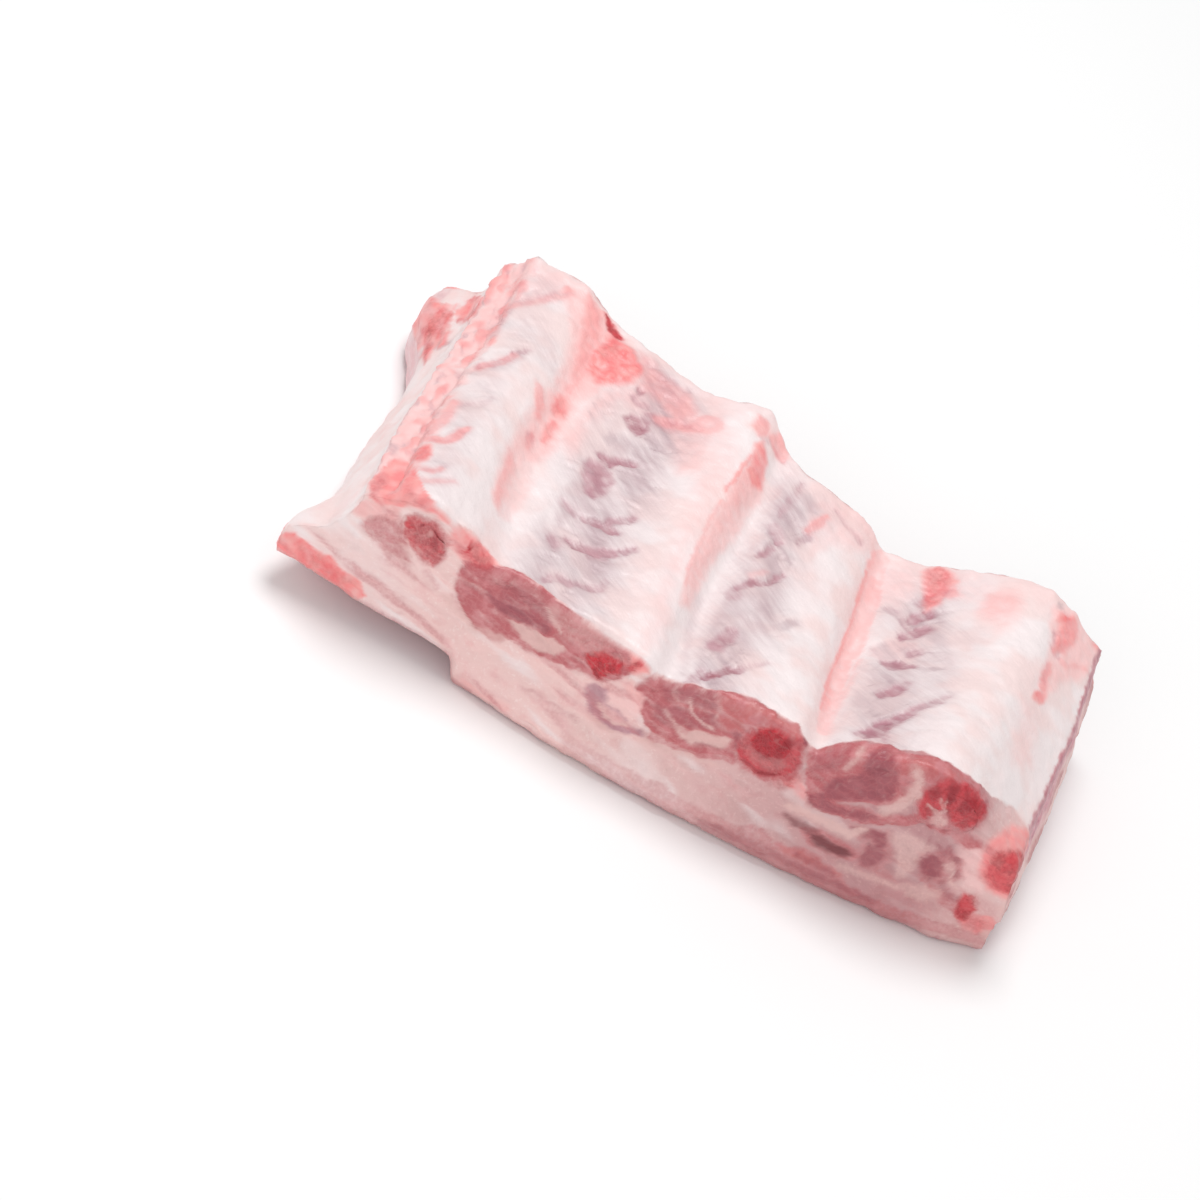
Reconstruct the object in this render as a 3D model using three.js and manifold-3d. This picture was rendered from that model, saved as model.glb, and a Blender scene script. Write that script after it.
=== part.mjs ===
// A portion of a rack of pork ribs, raw, cut straight across the bones at both ends and lying
// with its membrane side (the inside of the ribcage) up.
// Millimetres, +Z up. X runs along the rack across the ribs, Y runs along the ribs, and the
// front cut face, the one that shows the bone ends, looks along -Y.
//
// From the top down the rack is: the rib layer (membrane, muscle between the ribs) with four rib
// bones that run right through it, a thick layer of fat, and a thin sheet of outer muscle.
// Every layer is a slice of one warped block: a runs along X, b along Y from the front cut to the
// back cut, and c from the underside (0) to the membrane (1).

import * as THREE from "three";
import { mergeVertices } from "three/addons/utils/BufferGeometryUtils.js";
import Module from "manifold-3d";

// ---------- driving dimensions ----------
const X_LEFT = -75; // left end of the membrane
const X_RIGHT = 82.5; // right end of the membrane
const LENGTH = X_RIGHT - X_LEFT;
const DEPTH = 92; // nominal front cut to back cut, used for edge distances
const FRONT_Y = -41; // front cut, where it stands out most
const GAP = 0.3; // gap between touching layers, and between bone and meat
const TOP_FILLET = 2.2; // rounding of the membrane's edges
const BASE_FILLET = 2.2; // rounding of the underside's edges
const CENTRE = [1.104, 11.758, 0]; // centre of the finished block's footprint

// height of the membrane at the front cut and at the back cut, with the swellings and sinks on it
const FRONT_HEIGHT = 32.6;
const FRONT_SWELLS = [
  { x: -67, h: 7.2, w: 12 }, // over the first rib
  { x: 15, h: 1.5, w: 12 }, // muscle between the second and third ribs
  { x: 56, h: 9.4, w: 17 }, // muscle between the third and fourth ribs
];
const BACK_HEIGHT = 34.6;
const BACK_SWELLS = [
  { x: -12, h: 2.0, w: 10 },
  { x: 30, h: -6.4, w: 17 },
  { x: 68, h: 2.2, w: 15 },
  { x: -70, h: 2.6, w: 12 },
];
const SAG = 1.6; // how far the middle lies below the two cuts

// the creases that part the ribs, each with its place at the front and back cut and its depth
const CREASES = [
  { front: -48.5, back: -50.5, bow: -3, depth: 1.3, width: 4 },
  { front: -4.2, back: -4, bow: 0, depth: 3.0, width: 4 },
  { front: 32, back: 27.5, bow: -1, depth: 3.0, width: 3.6 },
];
// the rib bones: place at the front and back cut, half width and half height
const BONES = [
  { front: -60, back: -61.5, rx: 5.6, rz: 4.9 },
  { front: -15.2, back: -14.5, rx: 5.2, rz: 4.5 },
  { front: 23.6, back: 18, rx: 6.3, rz: 5.6 },
  { front: 62.6, back: 61, rx: 7.0, rz: 5.4 },
];
const RIB_RISE = 1.7; // how far the membrane swells over each bone
const BONE_COVER = 1.5; // flesh between a bone and the membrane's surface
const BONE_PROUD = 0.4; // how far a sawn bone stands out of the cut meat

// ---------- small functions ----------
const clamp = (v) => Math.min(1, Math.max(0, v));
const smooth = (e0, e1, v) => {
  const t = clamp((v - e0) / (e1 - e0));
  return t * t * (3 - 2 * t);
};
const lerp = (p, q, t) => p + (q - p) * t;
const bell = (v) => Math.exp(-v * v);
const swell = (list, x) => list.reduce((s, k) => s + k.h * bell((x - k.x) / k.w), 0);
// drop of a rounded edge of radius r at distance d from the edge
const fillet = (d, r) => {
  const t = clamp(1 - d / r);
  return r * (1 - Math.sqrt(1 - t * t));
};

// ---------- outline in plan ----------
const frontY = (x) => FRONT_Y + 4 * smooth(40, 85, x) + 3.5 * smooth(-5, -45, x);
const backY = (x) => 58 - 16 * smooth(-55, 10, x) + 3.5 * bell((x + 63) / 10) + 7 * bell((x + 9) / 8.5) - 1.4 * bell((x - 31) / 9)
  + 1.6 * bell((x - 57) / 14) + 1.2 * smooth(66, 86, x) + 2.6 * smooth(-62, -75, x);
// the left end leans out: membrane edge, muscle edge, then fat
const leftX = (b, c) => X_LEFT + 5.5 * smooth(0.89, 1.0, c) - 5.2 * smooth(0.8, 0.25, c) - 1.4 * bell((b - 0.35) / 0.2)
  - 6.5 * bell((b - 0.02) / 0.1) * smooth(0.45, 0.2, c)
  - 6.6 * bell((b - 0.93) / 0.13) * smooth(0.62, 0.34, c);
const rightX = (b, c) => X_RIGHT - 1.2 * bell(b / 0.2) + 5.6 * smooth(0.98, 0.5, c) + 0.9 * bell((b - 0.62) / 0.2);

// ---------- heights ----------
const along = (k, b) => lerp(k.front, k.back, b) + (k.bow || 0) * Math.sin(Math.PI * clamp(b));
const topZ = (x, b) => {
  const f = FRONT_HEIGHT + swell(FRONT_SWELLS, x),
    r = BACK_HEIGHT + swell(BACK_SWELLS, x);
  let z = lerp(f, r, smooth(-0.12, 1.0, b)) - SAG * Math.sin(Math.PI * clamp(b));
  for (const k of BONES) z += RIB_RISE * bell((x - along(k, b)) / (k.rx + 3.2)) * smooth(-0.1, 0.3, b);
  for (const k of CREASES) z -= k.depth * bell((x - along(k, b)) / k.width) * lerp(1, 0.55, smooth(0.5, 1, b));
  return z - 7.5 * smooth(64, 92, x);
};
// the underside is flat but for the front left corner, where the outer muscle curls up
const curl = (x, b) => (5 + 2.2 * smooth(-45, -78, x)) * smooth(-32.5, -36, x) * smooth(0.34, 0.1, b);
const baseZ = (x, b) => curl(x, b);

// share of the height at which the rib layer meets the fat, and the fat the outer muscle
const boneGrow = (b) => 1 + 0.1 * Math.sin(Math.PI * b);
const ribFloor = (x, b) => {
  const top = topZ(x, b), base = baseZ(x, b);
  let z = 18.6 + 8.5 * smooth(-38, -72, x) - 3.6 * bell((x - 2) / 9) + 1.6 * bell((x - 52) / 10) - 0.8 * bell((x + 14) / 7)
    + 3.5 * smooth(60, 78, x) - 0.8 * Math.sin(0.16 * x + 5 * b) * smooth(0.05, 0.3, b) - 3 * smooth(0.3, 1, b) * bell((x - 30) / 22);
  // it passes below every bone
  for (const k of BONES) {
    const xb = along(k, b);
    const limit = topZ(xb, b) - BONE_COVER - 2 * k.rz * boneGrow(b) - 1.5;
    z = lerp(z, Math.min(z, limit), smooth(k.rx + 7.5, k.rx + 2.2, Math.abs(x - xb)));
  }
  return (z - base) / (top - base);
};
const meatTop = (x, b) => {
  const top = topZ(x, b), base = baseZ(x, b);
  const z = base + 2 + 2.2 * smooth(-25, 45, x) + 1.6 * smooth(-50, -76, x) + 0.6 * Math.sin(0.21 * x + 3.1 * b) * smooth(-40, -20, x) + 2.6 * smooth(0.2, 0.6, b)
    + 9.5 * bell((b - 0.95) / 0.2) * smooth(-58, -74, x);
  return (z - base) / (top - base);
};

// ---------- the warp ----------
const warp = (a, b, c) => {
  const x0 = lerp(X_LEFT, X_RIGHT, a);
  const d = Math.min(a * LENGTH, (1 - a) * LENGTH, b * DEPTH, (1 - b) * DEPTH);
  const zt = topZ(x0, b) - fillet(d, TOP_FILLET),
    zb = baseZ(x0, b) + fillet(d, BASE_FILLET);
  const x = lerp(leftX(b, c), rightX(b, c), a);
  const yf = frontY(x0) - (1.6 * smooth(-50, -25, x0) + 2.2 * bell((x0 - 12) / 28)) * bell((c - 0.08) / 0.15)
    + 4.5 * smooth(70, 88, x0) * smooth(0.5, 0.1, c);
  const yb = backY(x0) + 6.5 * bell((a - 0.02) / 0.08) * smooth(0.62, 0.34, c);
  return [x - CENTRE[0], lerp(yf, yb, b) - CENTRE[1], lerp(zb, zt, c)];
};

// grid lines, closer together at the two edges
const lines = (n, size, edge) => {
  const s = [0, edge[0] / size, edge[1] / size];
  const inner = n - 4;
  const out = [...s.slice(0, 2)];
  for (let i = 0; i <= inner; i++) out.push(lerp(s[2], 1 - s[2], i / inner));
  return [...out, 1 - s[1], 1];
};
const A = lines(38, LENGTH, [0.7, 2.4]);
const B = lines(12, DEPTH, [0.7, 2.4]);

// one layer: the closed surface of the block between two heights, each a function of x and b
function layer(low, high, rows) {
  const na = A.length - 1, nb = B.length - 1, p = [], id = new Map(), tri = [];
  const vert = (i, j, k) => {
    const key = (i * 100 + j) * 100 + k;
    if (!id.has(key)) {
      const x0 = lerp(X_LEFT, X_RIGHT, A[i]);
      const lo = low(x0, B[j]), hi = high(x0, B[j]);
      const q = warp(A[i], B[j], lerp(lo, hi, k / rows));
      const half = GAP / 2;
      if (k === rows && hi < 1) q[2] -= half;
      if (k === 0 && lo > 0) q[2] += half;
      id.set(key, p.length / 3);
      p.push(...q);
    }
    return id.get(key);
  };
  const quad = (p0, p1, p2, p3) => {
    const v = [p0, p1, p2, p3].map((q) => vert(...q));
    tri.push(v[0], v[1], v[2], v[0], v[2], v[3]);
  };
  for (let i = 0; i < na; i++)
    for (let j = 0; j < nb; j++) {
      quad([i, j, rows], [i + 1, j, rows], [i + 1, j + 1, rows], [i, j + 1, rows]);
      quad([i, j, 0], [i, j + 1, 0], [i + 1, j + 1, 0], [i + 1, j, 0]);
    }
  for (let k = 0; k < rows; k++) {
    for (let i = 0; i < na; i++) {
      quad([i, 0, k], [i + 1, 0, k], [i + 1, 0, k + 1], [i, 0, k + 1]);
      quad([i, nb, k], [i, nb, k + 1], [i + 1, nb, k + 1], [i + 1, nb, k]);
    }
    for (let j = 0; j < nb; j++) {
      quad([0, j, k], [0, j, k + 1], [0, j + 1, k + 1], [0, j + 1, k]);
      quad([na, j, k], [na, j + 1, k], [na, j + 1, k + 1], [na, j, k + 1]);
    }
  }
  const g = new THREE.BufferGeometry();
  g.setAttribute("position", new THREE.BufferAttribute(new Float32Array(p), 3));
  g.setIndex(tri);
  return g;
}

// where a bone's centre lies at share b of the depth, and its size there
function boneAt(k, b) {
  const x = along(k, b);
  const grow = boneGrow(b);
  const bb = clamp(b);
  const z = topZ(x, bb) - BONE_COVER - k.rz * grow - 0.5 * fillet(Math.min(bb, 1 - bb) * DEPTH, TOP_FILLET);
  const y = lerp(frontY(x), backY(x), b);
  return { x: x - CENTRE[0], y: y - CENTRE[1], z, rx: k.rx * grow, rz: k.rz * grow, b, off: 0 };
}
// a bone: an oval rod that runs from cut to cut and stands out of both by over; extra makes the
// bore in the meat
function bone(k, extra, over) {
  const steps = 9, sides = 14, p = [], tri = [];
  const rings = [{ ...boneAt(k, 0) }];
  for (let j = 0; j <= steps; j++) rings.push(boneAt(k, j / steps));
  rings.push({ ...boneAt(k, 1) });
  rings[0].off = -over;
  rings[rings.length - 1].off = over;
  for (const q of rings)
    for (let i = 0; i < sides; i++) {
      const t = (2 * Math.PI * i) / sides;
      const dx = (q.rx + extra) * Math.cos(t), x0 = q.x + dx + CENTRE[0];
      const y = lerp(frontY(x0), backY(x0), q.b) - CENTRE[1] + q.off;
      p.push(q.x + dx, y, q.z + (q.rz + extra) * Math.sin(t));
    }
  const n = p.length / 3, last = rings.length - 1;
  for (const q of [rings[0], rings[last]]) p.push(q.x, q.y + q.off, q.z);
  for (let j = 0; j < last; j++)
    for (let i = 0; i < sides; i++) {
      const m = (i + 1) % sides, u = j * sides, w = (j + 1) * sides;
      tri.push(u + i, w + m, u + m, u + i, w + i, w + m);
    }
  for (let i = 0; i < sides; i++) {
    const m = (i + 1) % sides, w = last * sides;
    tri.push(n, i, m, n + 1, w + m, w + i);
  }
  const g = new THREE.BufferGeometry();
  g.setAttribute("position", new THREE.BufferAttribute(new Float32Array(p), 3));
  g.setIndex(tri);
  return g;
}

// ---------- cutting the bores ----------
const wasm = await Module();
wasm.setup();
const toSolid = (geometry) => {
  const g = mergeVertices(geometry, 1e-4);
  const s = new wasm.Manifold(
    new wasm.Mesh({ numProp: 3, vertProperties: g.attributes.position.array, triVerts: new Uint32Array(g.index.array) }),
  );
  return s;
};
const toGeometry = (solid) => {
  const m = solid.getMesh();
  const g = new THREE.BufferGeometry();
  g.setAttribute("position", new THREE.BufferAttribute(new Float32Array(m.vertProperties), 3));
  g.setIndex(new THREE.BufferAttribute(new Uint32Array(m.triVerts), 1));
  return g;
};

// ---------- materials ----------
const look = (r, g, b, roughness) =>
  new THREE.MeshStandardMaterial({ color: new THREE.Color(r, g, b), roughness, metalness: 0 });
const membrane = look(0.89, 0.76, 0.75, 0.45);
const fat = look(0.88, 0.72, 0.7, 0.5);
const muscle = look(0.66, 0.33, 0.34, 0.45);
const boneEnd = look(0.68, 0.16, 0.2, 0.5);

// ---------- the rack ----------
const rack = new THREE.Group();
const add = (name, geometry, material) => {
  const mesh = new THREE.Mesh(geometry, material);
  mesh.name = name;
  rack.add(mesh);
};

let ribs = toSolid(layer(ribFloor, () => 1, 2));
for (const k of BONES) ribs = ribs.subtract(toSolid(bone(k, GAP, 6)));
add("rib_meat", toGeometry(ribs), membrane);
BONES.forEach((k, i) => add("rib_bone_" + (i + 1), bone(k, 0, BONE_PROUD), boneEnd));
add("fat_layer", layer(meatTop, ribFloor, 2), fat);
add("outer_meat", layer(() => 0, meatTop, 2), muscle);

export default rack;
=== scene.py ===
"""A portion of a raw rack of pork ribs, membrane side up, on a pale floor.

Every layer of the meat is a slice of one warped block, as in the solid model: a runs along the
rack, b from the front cut to the back cut and c from the underside to the membrane. Each layer
becomes one closed mesh with fine relief, and carries masks for muscle, fat, blood spots and so on,
which its material breaks up with noise. Shapes are worked out in millimetres and written in metres.
"""
import math

import bpy
import numpy as np
from mathutils import Matrix


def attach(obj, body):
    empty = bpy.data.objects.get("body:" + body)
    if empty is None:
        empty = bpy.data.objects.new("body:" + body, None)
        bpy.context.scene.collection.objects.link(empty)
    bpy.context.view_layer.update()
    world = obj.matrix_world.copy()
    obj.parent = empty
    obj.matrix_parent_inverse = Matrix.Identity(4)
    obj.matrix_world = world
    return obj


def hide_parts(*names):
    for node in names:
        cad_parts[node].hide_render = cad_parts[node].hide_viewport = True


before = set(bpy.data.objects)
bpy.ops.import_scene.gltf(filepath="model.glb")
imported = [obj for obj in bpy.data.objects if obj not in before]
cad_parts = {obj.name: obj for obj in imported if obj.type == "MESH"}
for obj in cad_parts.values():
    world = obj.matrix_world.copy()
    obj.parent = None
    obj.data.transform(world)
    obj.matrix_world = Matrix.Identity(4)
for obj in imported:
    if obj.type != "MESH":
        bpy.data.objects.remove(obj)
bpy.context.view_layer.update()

# ---------- dimensions of the block, in millimetres ----------
X_LEFT, X_RIGHT = -75.0, 82.5
LENGTH = X_RIGHT - X_LEFT
DEPTH = 92.0
FRONT_Y = -41.0
TOP_FILLET, BASE_FILLET = 2.2, 2.2
CENTRE = np.array([1.104, 11.758, 0.0])
FRONT_HEIGHT = 32.6
FRONT_SWELLS = [(-67, 7.2, 12), (15, 1.5, 12), (56, 9.4, 17)]
BACK_HEIGHT = 34.6
BACK_SWELLS = [(-12, 2.0, 10), (30, -6.4, 17), (68, 2.2, 15), (-70, 2.6, 12)]
SAG = 1.6
CREASES = [(-48.5, -50.5, -3, 1.3, 4), (-4.2, -4, 0, 3.0, 4), (32, 27.5, -1, 3.0, 3.6)]
BONES = [(-60, -61.5, 5.6, 4.9), (-15.2, -14.5, 5.2, 4.5), (23.6, 18, 6.3, 5.6), (62.6, 61, 7.0, 5.4)]
RIB_RISE, BONE_COVER, BONE_PROUD = 1.7, 1.5, 0.4

# camera, fitted to the rack's angle
EYE = np.array([-35.1, -820.8, 649.7])
AZIMUTH, ELEVATION, ROLL, LENS = -1.0, 38.0, 29.0, 144.0

# ---------- marks on the cuts and on the membrane ----------
# Each mark is a spot (centre and two half axes), an area (outline) or a streak (line with half
# widths), with the mask it adds to, its strength and how soft its edge is. Marks on the cuts are
# placed by x and height, marks on the membrane by x and y, marks on the left end by y and height.
MEMBRANE_EDGE = [(-76.1, 29.3), (-75.5, 33.5), (-74.2, 40.9), (-71.6, 46.1), (-68.5, 45.3), (-63.8, 40.8), (-59.2, 38.7), (-54.8, 37.2), (-50.3, 37.6), (-45.6, 34.3), (-42.8, 33.2), (-38.2, 34.8), (-33.6, 34.4), (-28.4, 33.6), (-22.0, 33.0), (-15.1, 32.4), (-10.6, 32.2), (-6.2, 30.2), (-2.4, 30.7), (0.2, 30.7), (4.0, 33.1), (6.0, 33.0), (9.8, 35.0), (13.7, 36.8), (17.5, 36.8), (22.0, 36.6), (26.8, 36.3), (29.7, 33.7), (32.8, 32.5), (35.6, 36.7), (39.5, 40.9), (43.8, 42.7), (47.0, 42.7), (51.8, 45.1), (56.9, 45.4), (61.9, 44.4), (68.0, 42.2), (72.1, 41.3), (74.9, 41.2), (79.6, 41.1)]
FRONT_MARKS = [
    ("salmon", 0.92, "area", 1.2, [(-74.7, 36.4), (-73.8, 42.3), (-71.8, 47.7), (-67.2, 46.8), (-63.5, 42.2), (-60.1, 39.8), (-55.9, 37.4), (-51.8, 36.6), (-47.7, 35.8), (-43.0, 33.7), (-45.6, 31.9), (-50.1, 33.6), (-55.3, 36.0), (-60.9, 37.0), (-66.0, 35.2), (-70.3, 32.3), (-73.6, 32.4)]),
    ("salmon", 0.4, "area", 1.5, [(-76.1, 29.3), (-71.4, 33.9), (-66.8, 34.1), (-66.6, 30.7), (-72.3, 27.4), (-75.6, 26.7)]),
    ("muscle", 0.75, "area", 1.4, [(-72.7, 26.5), (-68.9, 30.6), (-65.1, 31.1), (-62.5, 28.2), (-61.8, 24.1), (-59.2, 22.6), (-61.8, 22.0), (-65.6, 22.4), (-69.1, 23.6), (-72.3, 24.4)]),
    ("muscle", 0.5, "streak", 0.6, [(-67.8, 23.9, 0.5), (-64.3, 23.3, 0.8), (-61.5, 24.0, 0.5)]),
    ("pale", 0.5, "streak", 0.5, [(-63.2, 25.3, 0.4), (-60.4, 24.2, 0.4)]),
    ("muscle", 0.7, "area", 1.4, [(-64.9, 32.4), (-63.5, 34.9), (-60.8, 35.8), (-58.4, 35.6), (-55.8, 32.7), (-54.0, 29.4), (-54.6, 25.1), (-57.4, 23.8), (-60.9, 25.6), (-63.9, 28.3)]),
    ("red", 1, "area", 0.6, [(-50.7, 35.3), (-49.2, 33.3), (-50.0, 31.3), (-51.0, 31.2)]),
    ("red", 0.45, "area", 1.6, [(-51.2, 34.1), (-49.1, 35.8), (-45.4, 33.8), (-43.3, 31.1), (-46.5, 29.5), (-49.6, 30.3)]),
    ("salmon", 0.85, "area", 1.5, [(-55.1, 35.5), (-50.3, 36.4), (-45.5, 35.0), (-42.4, 32.3), (-45.0, 29.3), (-49.6, 29.1), (-53.6, 31.8)]),
    ("muscle", 1, "area", 1, [(-50.1, 29.7), (-46.6, 30.9), (-42.7, 33.0), (-38.1, 34.6), (-33.5, 34.1), (-28.3, 33.4), (-21.9, 32.8), (-15.0, 32.2), (-10.5, 31.9), (-8.4, 28.3), (-10.3, 23.3), (-15.4, 21.2), (-22.1, 19.5), (-27.6, 17.9), (-33.3, 17.9), (-37.4, 14.8), (-41.9, 15.1), (-45.5, 18.1), (-48.9, 21.8), (-50.0, 26.2)]),
    ("pale", 0.3, "area", 2, [(-28.6, 31.4), (-17.7, 31.6), (-14.3, 30.6), (-17.7, 26.1), (-24.4, 25.7), (-29.9, 30.4)]),
    ("dark", 0.7, "streak", 0.9, [(-41.7, 25.0, 0.5), (-38.9, 24.0, 1.1), (-35.4, 24.5, 1.2), (-32.0, 25.1, 1.3), (-28.5, 25.4, 0.8)]),
    ("dark", 0.5, "spot", 0, [(-29.1, 27.4), (0.9, 0.7), (0.5, -1.1)]),
    ("dark", 0.4, "area", 1.4, [(-41.2, 29.3), (-37.0, 30.9), (-31.0, 31.0), (-27.7, 27.6), (-29.2, 24.3), (-34.8, 22.9), (-39.6, 24.5)]),
    ("mauve", 0.6, "area", 1, [(-48.4, 21.6), (-46.2, 24.3), (-42.8, 24.2), (-41.8, 20.7), (-44.0, 19.1), (-46.7, 19.7)]),
    ("dark", 0.5, "spot", 0, [(-42.4, 25.4), (0.7, 0.5), (0.4, -0.9)]),
    ("pale", 0.9, "area", 0.7, [(-36.0, 21.9), (-33.1, 23.0), (-29.1, 23.1), (-25.3, 24.4), (-22.6, 24.0), (-24.4, 20.2), (-27.9, 19.2), (-32.0, 19.6)]),
    ("muscle", 0.75, "streak", 1, [(-33.5, 18.4, 0.8), (-29.2, 18.7, 1.3), (-25.3, 20.0, 1.5), (-21.8, 21.6, 1.6), (-18.3, 22.0, 1.6)]),
    ("pale", 0.5, "streak", 0.8, [(-49.8, 18.7, 0.8), (-42.3, 14.9, 0.8), (-35.7, 16.7, 0.8)]),
    ("muscle", 0.3, "streak", 0.6, [(-56.4, 22.7, 0.5), (-52.5, 20.0, 0.5)]),
    ("muscle", 0.35, "streak", 0.7, [(-48.7, 20.1, 0.5), (-45.2, 17.4, 0.5), (-41.3, 15.5, 0.5)]),
    ("muscle", 0.25, "streak", 0.8, [(-62.9, 12.8, 0.5), (-58.2, 13.0, 0.5)]),
    ("salmon", 1, "area", 0.8, [(-88.2, 9.1), (-86.4, 13.6), (-82.5, 14.2), (-76.8, 12.9), (-74.9, 14.2), (-71.6, 11.9), (-67.8, 11.3), (-65.2, 9.0), (-67.6, 6.5), (-73.4, 6.2), (-80.1, 6.7)]),
    ("red", 0.22, "area", 1.5, [(-83.1, 12.6), (-76.6, 12.5), (-71.8, 11.2), (-67.8, 10.0), (-73.0, 8.2), (-80.7, 9.6)]),
    ("muscle", 0.8, "area", 1.2, [(-21.5, 26.4), (-17.5, 31.2), (-12.3, 31.5), (-9.2, 29.0), (-9.7, 23.7), (-13.7, 20.6), (-17.7, 20.6), (-21.3, 22.1)]),
    ("mauve", 0.5, "streak", 1.2, [(-21.9, 25.8, 0.9), (-20.1, 28.2, 1.2), (-17.7, 29.5, 1.0)]),
    ("salmon", 0.85, "area", 1.2, [(-12.0, 30.8), (-8.6, 33.0), (-5.7, 32.7), (-5.2, 29.5), (-8.4, 27.1), (-11.0, 27.6)]),
    ("red", 0.75, "streak", 0.6, [(-8.9, 28.3, 0.4), (-8.2, 30.0, 0.5), (-7.3, 31.6, 0.4)]),
    ("mauve", 0.85, "area", 0.9, [(-15.3, 17.6), (-13.5, 20.2), (-11.0, 20.6), (-10.0, 18.3), (-10.9, 15.4), (-13.4, 15.0)]),
    ("mauve", 0.9, "streak", 0.8, [(-14.1, 16.0, 0.6), (-11.2, 13.9, 0.9), (-8.7, 12.7, 0.9), (-6.3, 12.6, 0.9), (-3.7, 13.2, 0.8), (-1.1, 14.4, 0.7)]),
    ("dark", 0.25, "streak", 0.7, [(-12.7, 15.0, 0.4), (-8.8, 12.9, 0.5), (-6.4, 12.8, 0.5)]),
    ("pink", 0.5, "area", 1.2, [(-10.9, 19.7), (-4.7, 24.2), (-2.1, 20.5), (-4.0, 14.9), (-7.5, 15.4)]),
    ("salmon", 0.3, "streak", 1, [(-7.5, 24.1, 1.0), (-4.5, 22.6, 1.2), (-1.6, 20.3, 1.0)]),
    ("muscle", 1, "area", 0.9, [(-6.2, 24.4), (-5.2, 27.9), (-2.3, 30.5), (0.3, 30.5), (4.2, 32.9), (6.1, 32.8), (9.9, 34.8), (13.8, 36.6), (17.6, 36.5), (22.1, 36.4), (22.2, 32.7), (17.2, 29.2), (17.9, 24.4), (19.0, 20.5), (13.6, 17.6), (8.5, 15.9), (3.1, 14.6), (-0.9, 16.7), (-3.2, 19.7), (-3.4, 23.3)]),
    ("dark", 0.45, "area", 1.1, [(-2.0, 28.6), (1.7, 30.9), (5.5, 32.0), (8.6, 33.6), (10.8, 29.6), (7.5, 28.5), (3.5, 26.9), (0.2, 25.9)]),
    ("dark", 0.45, "area", 1.2, [(-0.9, 23.5), (6.2, 26.3), (11.1, 28.6), (12.7, 25.4), (8.0, 22.1), (3.7, 20.3), (0.3, 19.2)]),
    ("brick", 0.45, "area", 1.6, [(9.7, 33.1), (14.1, 35.9), (18.5, 35.6), (18.5, 31.4), (16.9, 26.5), (13.8, 26.2), (10.8, 29.6)]),
    ("pale", 0.55, "streak", 0.6, [(1.5, 23.0, 0.4), (4.2, 21.2, 0.5), (7.0, 20.1, 0.8)]),
    ("pale", 0.9, "area", 0.8, [(4.7, 21.0), (7.7, 20.3), (10.2, 22.7), (14.3, 24.0), (16.9, 24.6), (16.4, 21.5), (12.4, 20.2), (9.9, 17.9), (7.3, 18.5)]),
    ("dark", 0.6, "streak", 0.4, [(8.2, 18.5, 0.3), (10.8, 19.1, 0.4), (13.7, 21.1, 0.5), (15.9, 21.5, 0.3)]),
    ("muscle", 0.8, "streak", 1, [(1.9, 14.6, 1.1), (7.2, 15.9, 1.3), (12.6, 17.2, 1.3), (18.4, 20.1, 1.3)]),
    ("pale", 0.45, "streak", 0.5, [(9.3, 32.9, 0.3), (11.2, 29.9, 0.3), (11.5, 27.0, 0.3)]),
    ("pale", 0.35, "streak", 0.5, [(0.6, 29.2, 0.3), (2.6, 26.9, 0.4), (5.3, 28.2, 0.3)]),
    ("muscle", 0.85, "area", 1.4, [(15.8, 30.1), (20.9, 35.5), (27.5, 36.5), (30.7, 32.6), (32.0, 26.7), (31.8, 22.1), (27.1, 18.8), (21.9, 18.8), (17.7, 22.7), (16.2, 26.6)]),
    ("brick", 0.6, "streak", 1.2, [(16.7, 30.1, 0.9), (20.2, 34.4, 1.3), (25.5, 35.7, 1.3), (29.3, 33.5, 1.0)]),
    ("red", 0.45, "area", 1.5, [(27.3, 21.5), (30.6, 25.7), (32.7, 25.3), (33.0, 20.5), (30.7, 18.2), (28.0, 18.8)]),
    ("salmon", 0.6, "streak", 1.1, [(31.8, 22.1, 1.3), (35.2, 20.8, 1.3), (37.4, 19.2, 0.7)]),
    ("dark", 0.9, "streak", 0.5, [(30.1, 32.4, 0.3), (29.9, 34.2, 0.4)]),
    ("muscle", 1, "area", 0.8, [(31.5, 31.9), (34.0, 35.5), (38.0, 39.0), (41.9, 41.7), (45.2, 42.7), (49.0, 42.7), (52.7, 44.7), (57.0, 45.2), (61.8, 44.7), (66.5, 42.9), (66.7, 40.5), (62.4, 41.0), (58.2, 40.3), (56.6, 36.9), (55.9, 33.4), (54.7, 30.7), (51.1, 27.9), (46.6, 25.6), (41.8, 23.0), (37.4, 21.1), (33.8, 24.8)]),
    ("dark", 0.8, "area", 1.2, [(37.8, 24.5), (39.3, 28.8), (42.6, 31.7), (43.0, 34.4), (42.5, 38.4), (45.1, 41.4), (48.1, 39.4), (51.2, 35.1), (51.7, 30.7), (48.1, 27.5), (43.6, 24.6), (39.7, 22.8)]),
    ("dark", 0.3, "area", 1.2, [(32.8, 31.0), (36.3, 35.3), (38.9, 37.1), (39.5, 33.9), (37.6, 30.0), (34.4, 27.7)]),
    ("brick", 0.5, "area", 1.6, [(48.3, 41.0), (53.0, 44.0), (58.6, 44.3), (63.1, 43.3), (60.2, 40.9), (56.7, 39.5), (52.9, 39.3), (50.4, 37.4)]),
    ("pale", 0.6, "streak", 0.8, [(40.2, 32.5, 0.5), (40.9, 35.5, 0.5), (41.0, 38.6, 0.5)]),
    ("pale", 0.8, "streak", 1.2, [(52.4, 39.9, 0.6), (54.6, 37.2, 0.8), (55.0, 33.4, 1.1), (54.0, 29.7, 1.2), (51.8, 27.0, 1.0)]),
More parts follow.
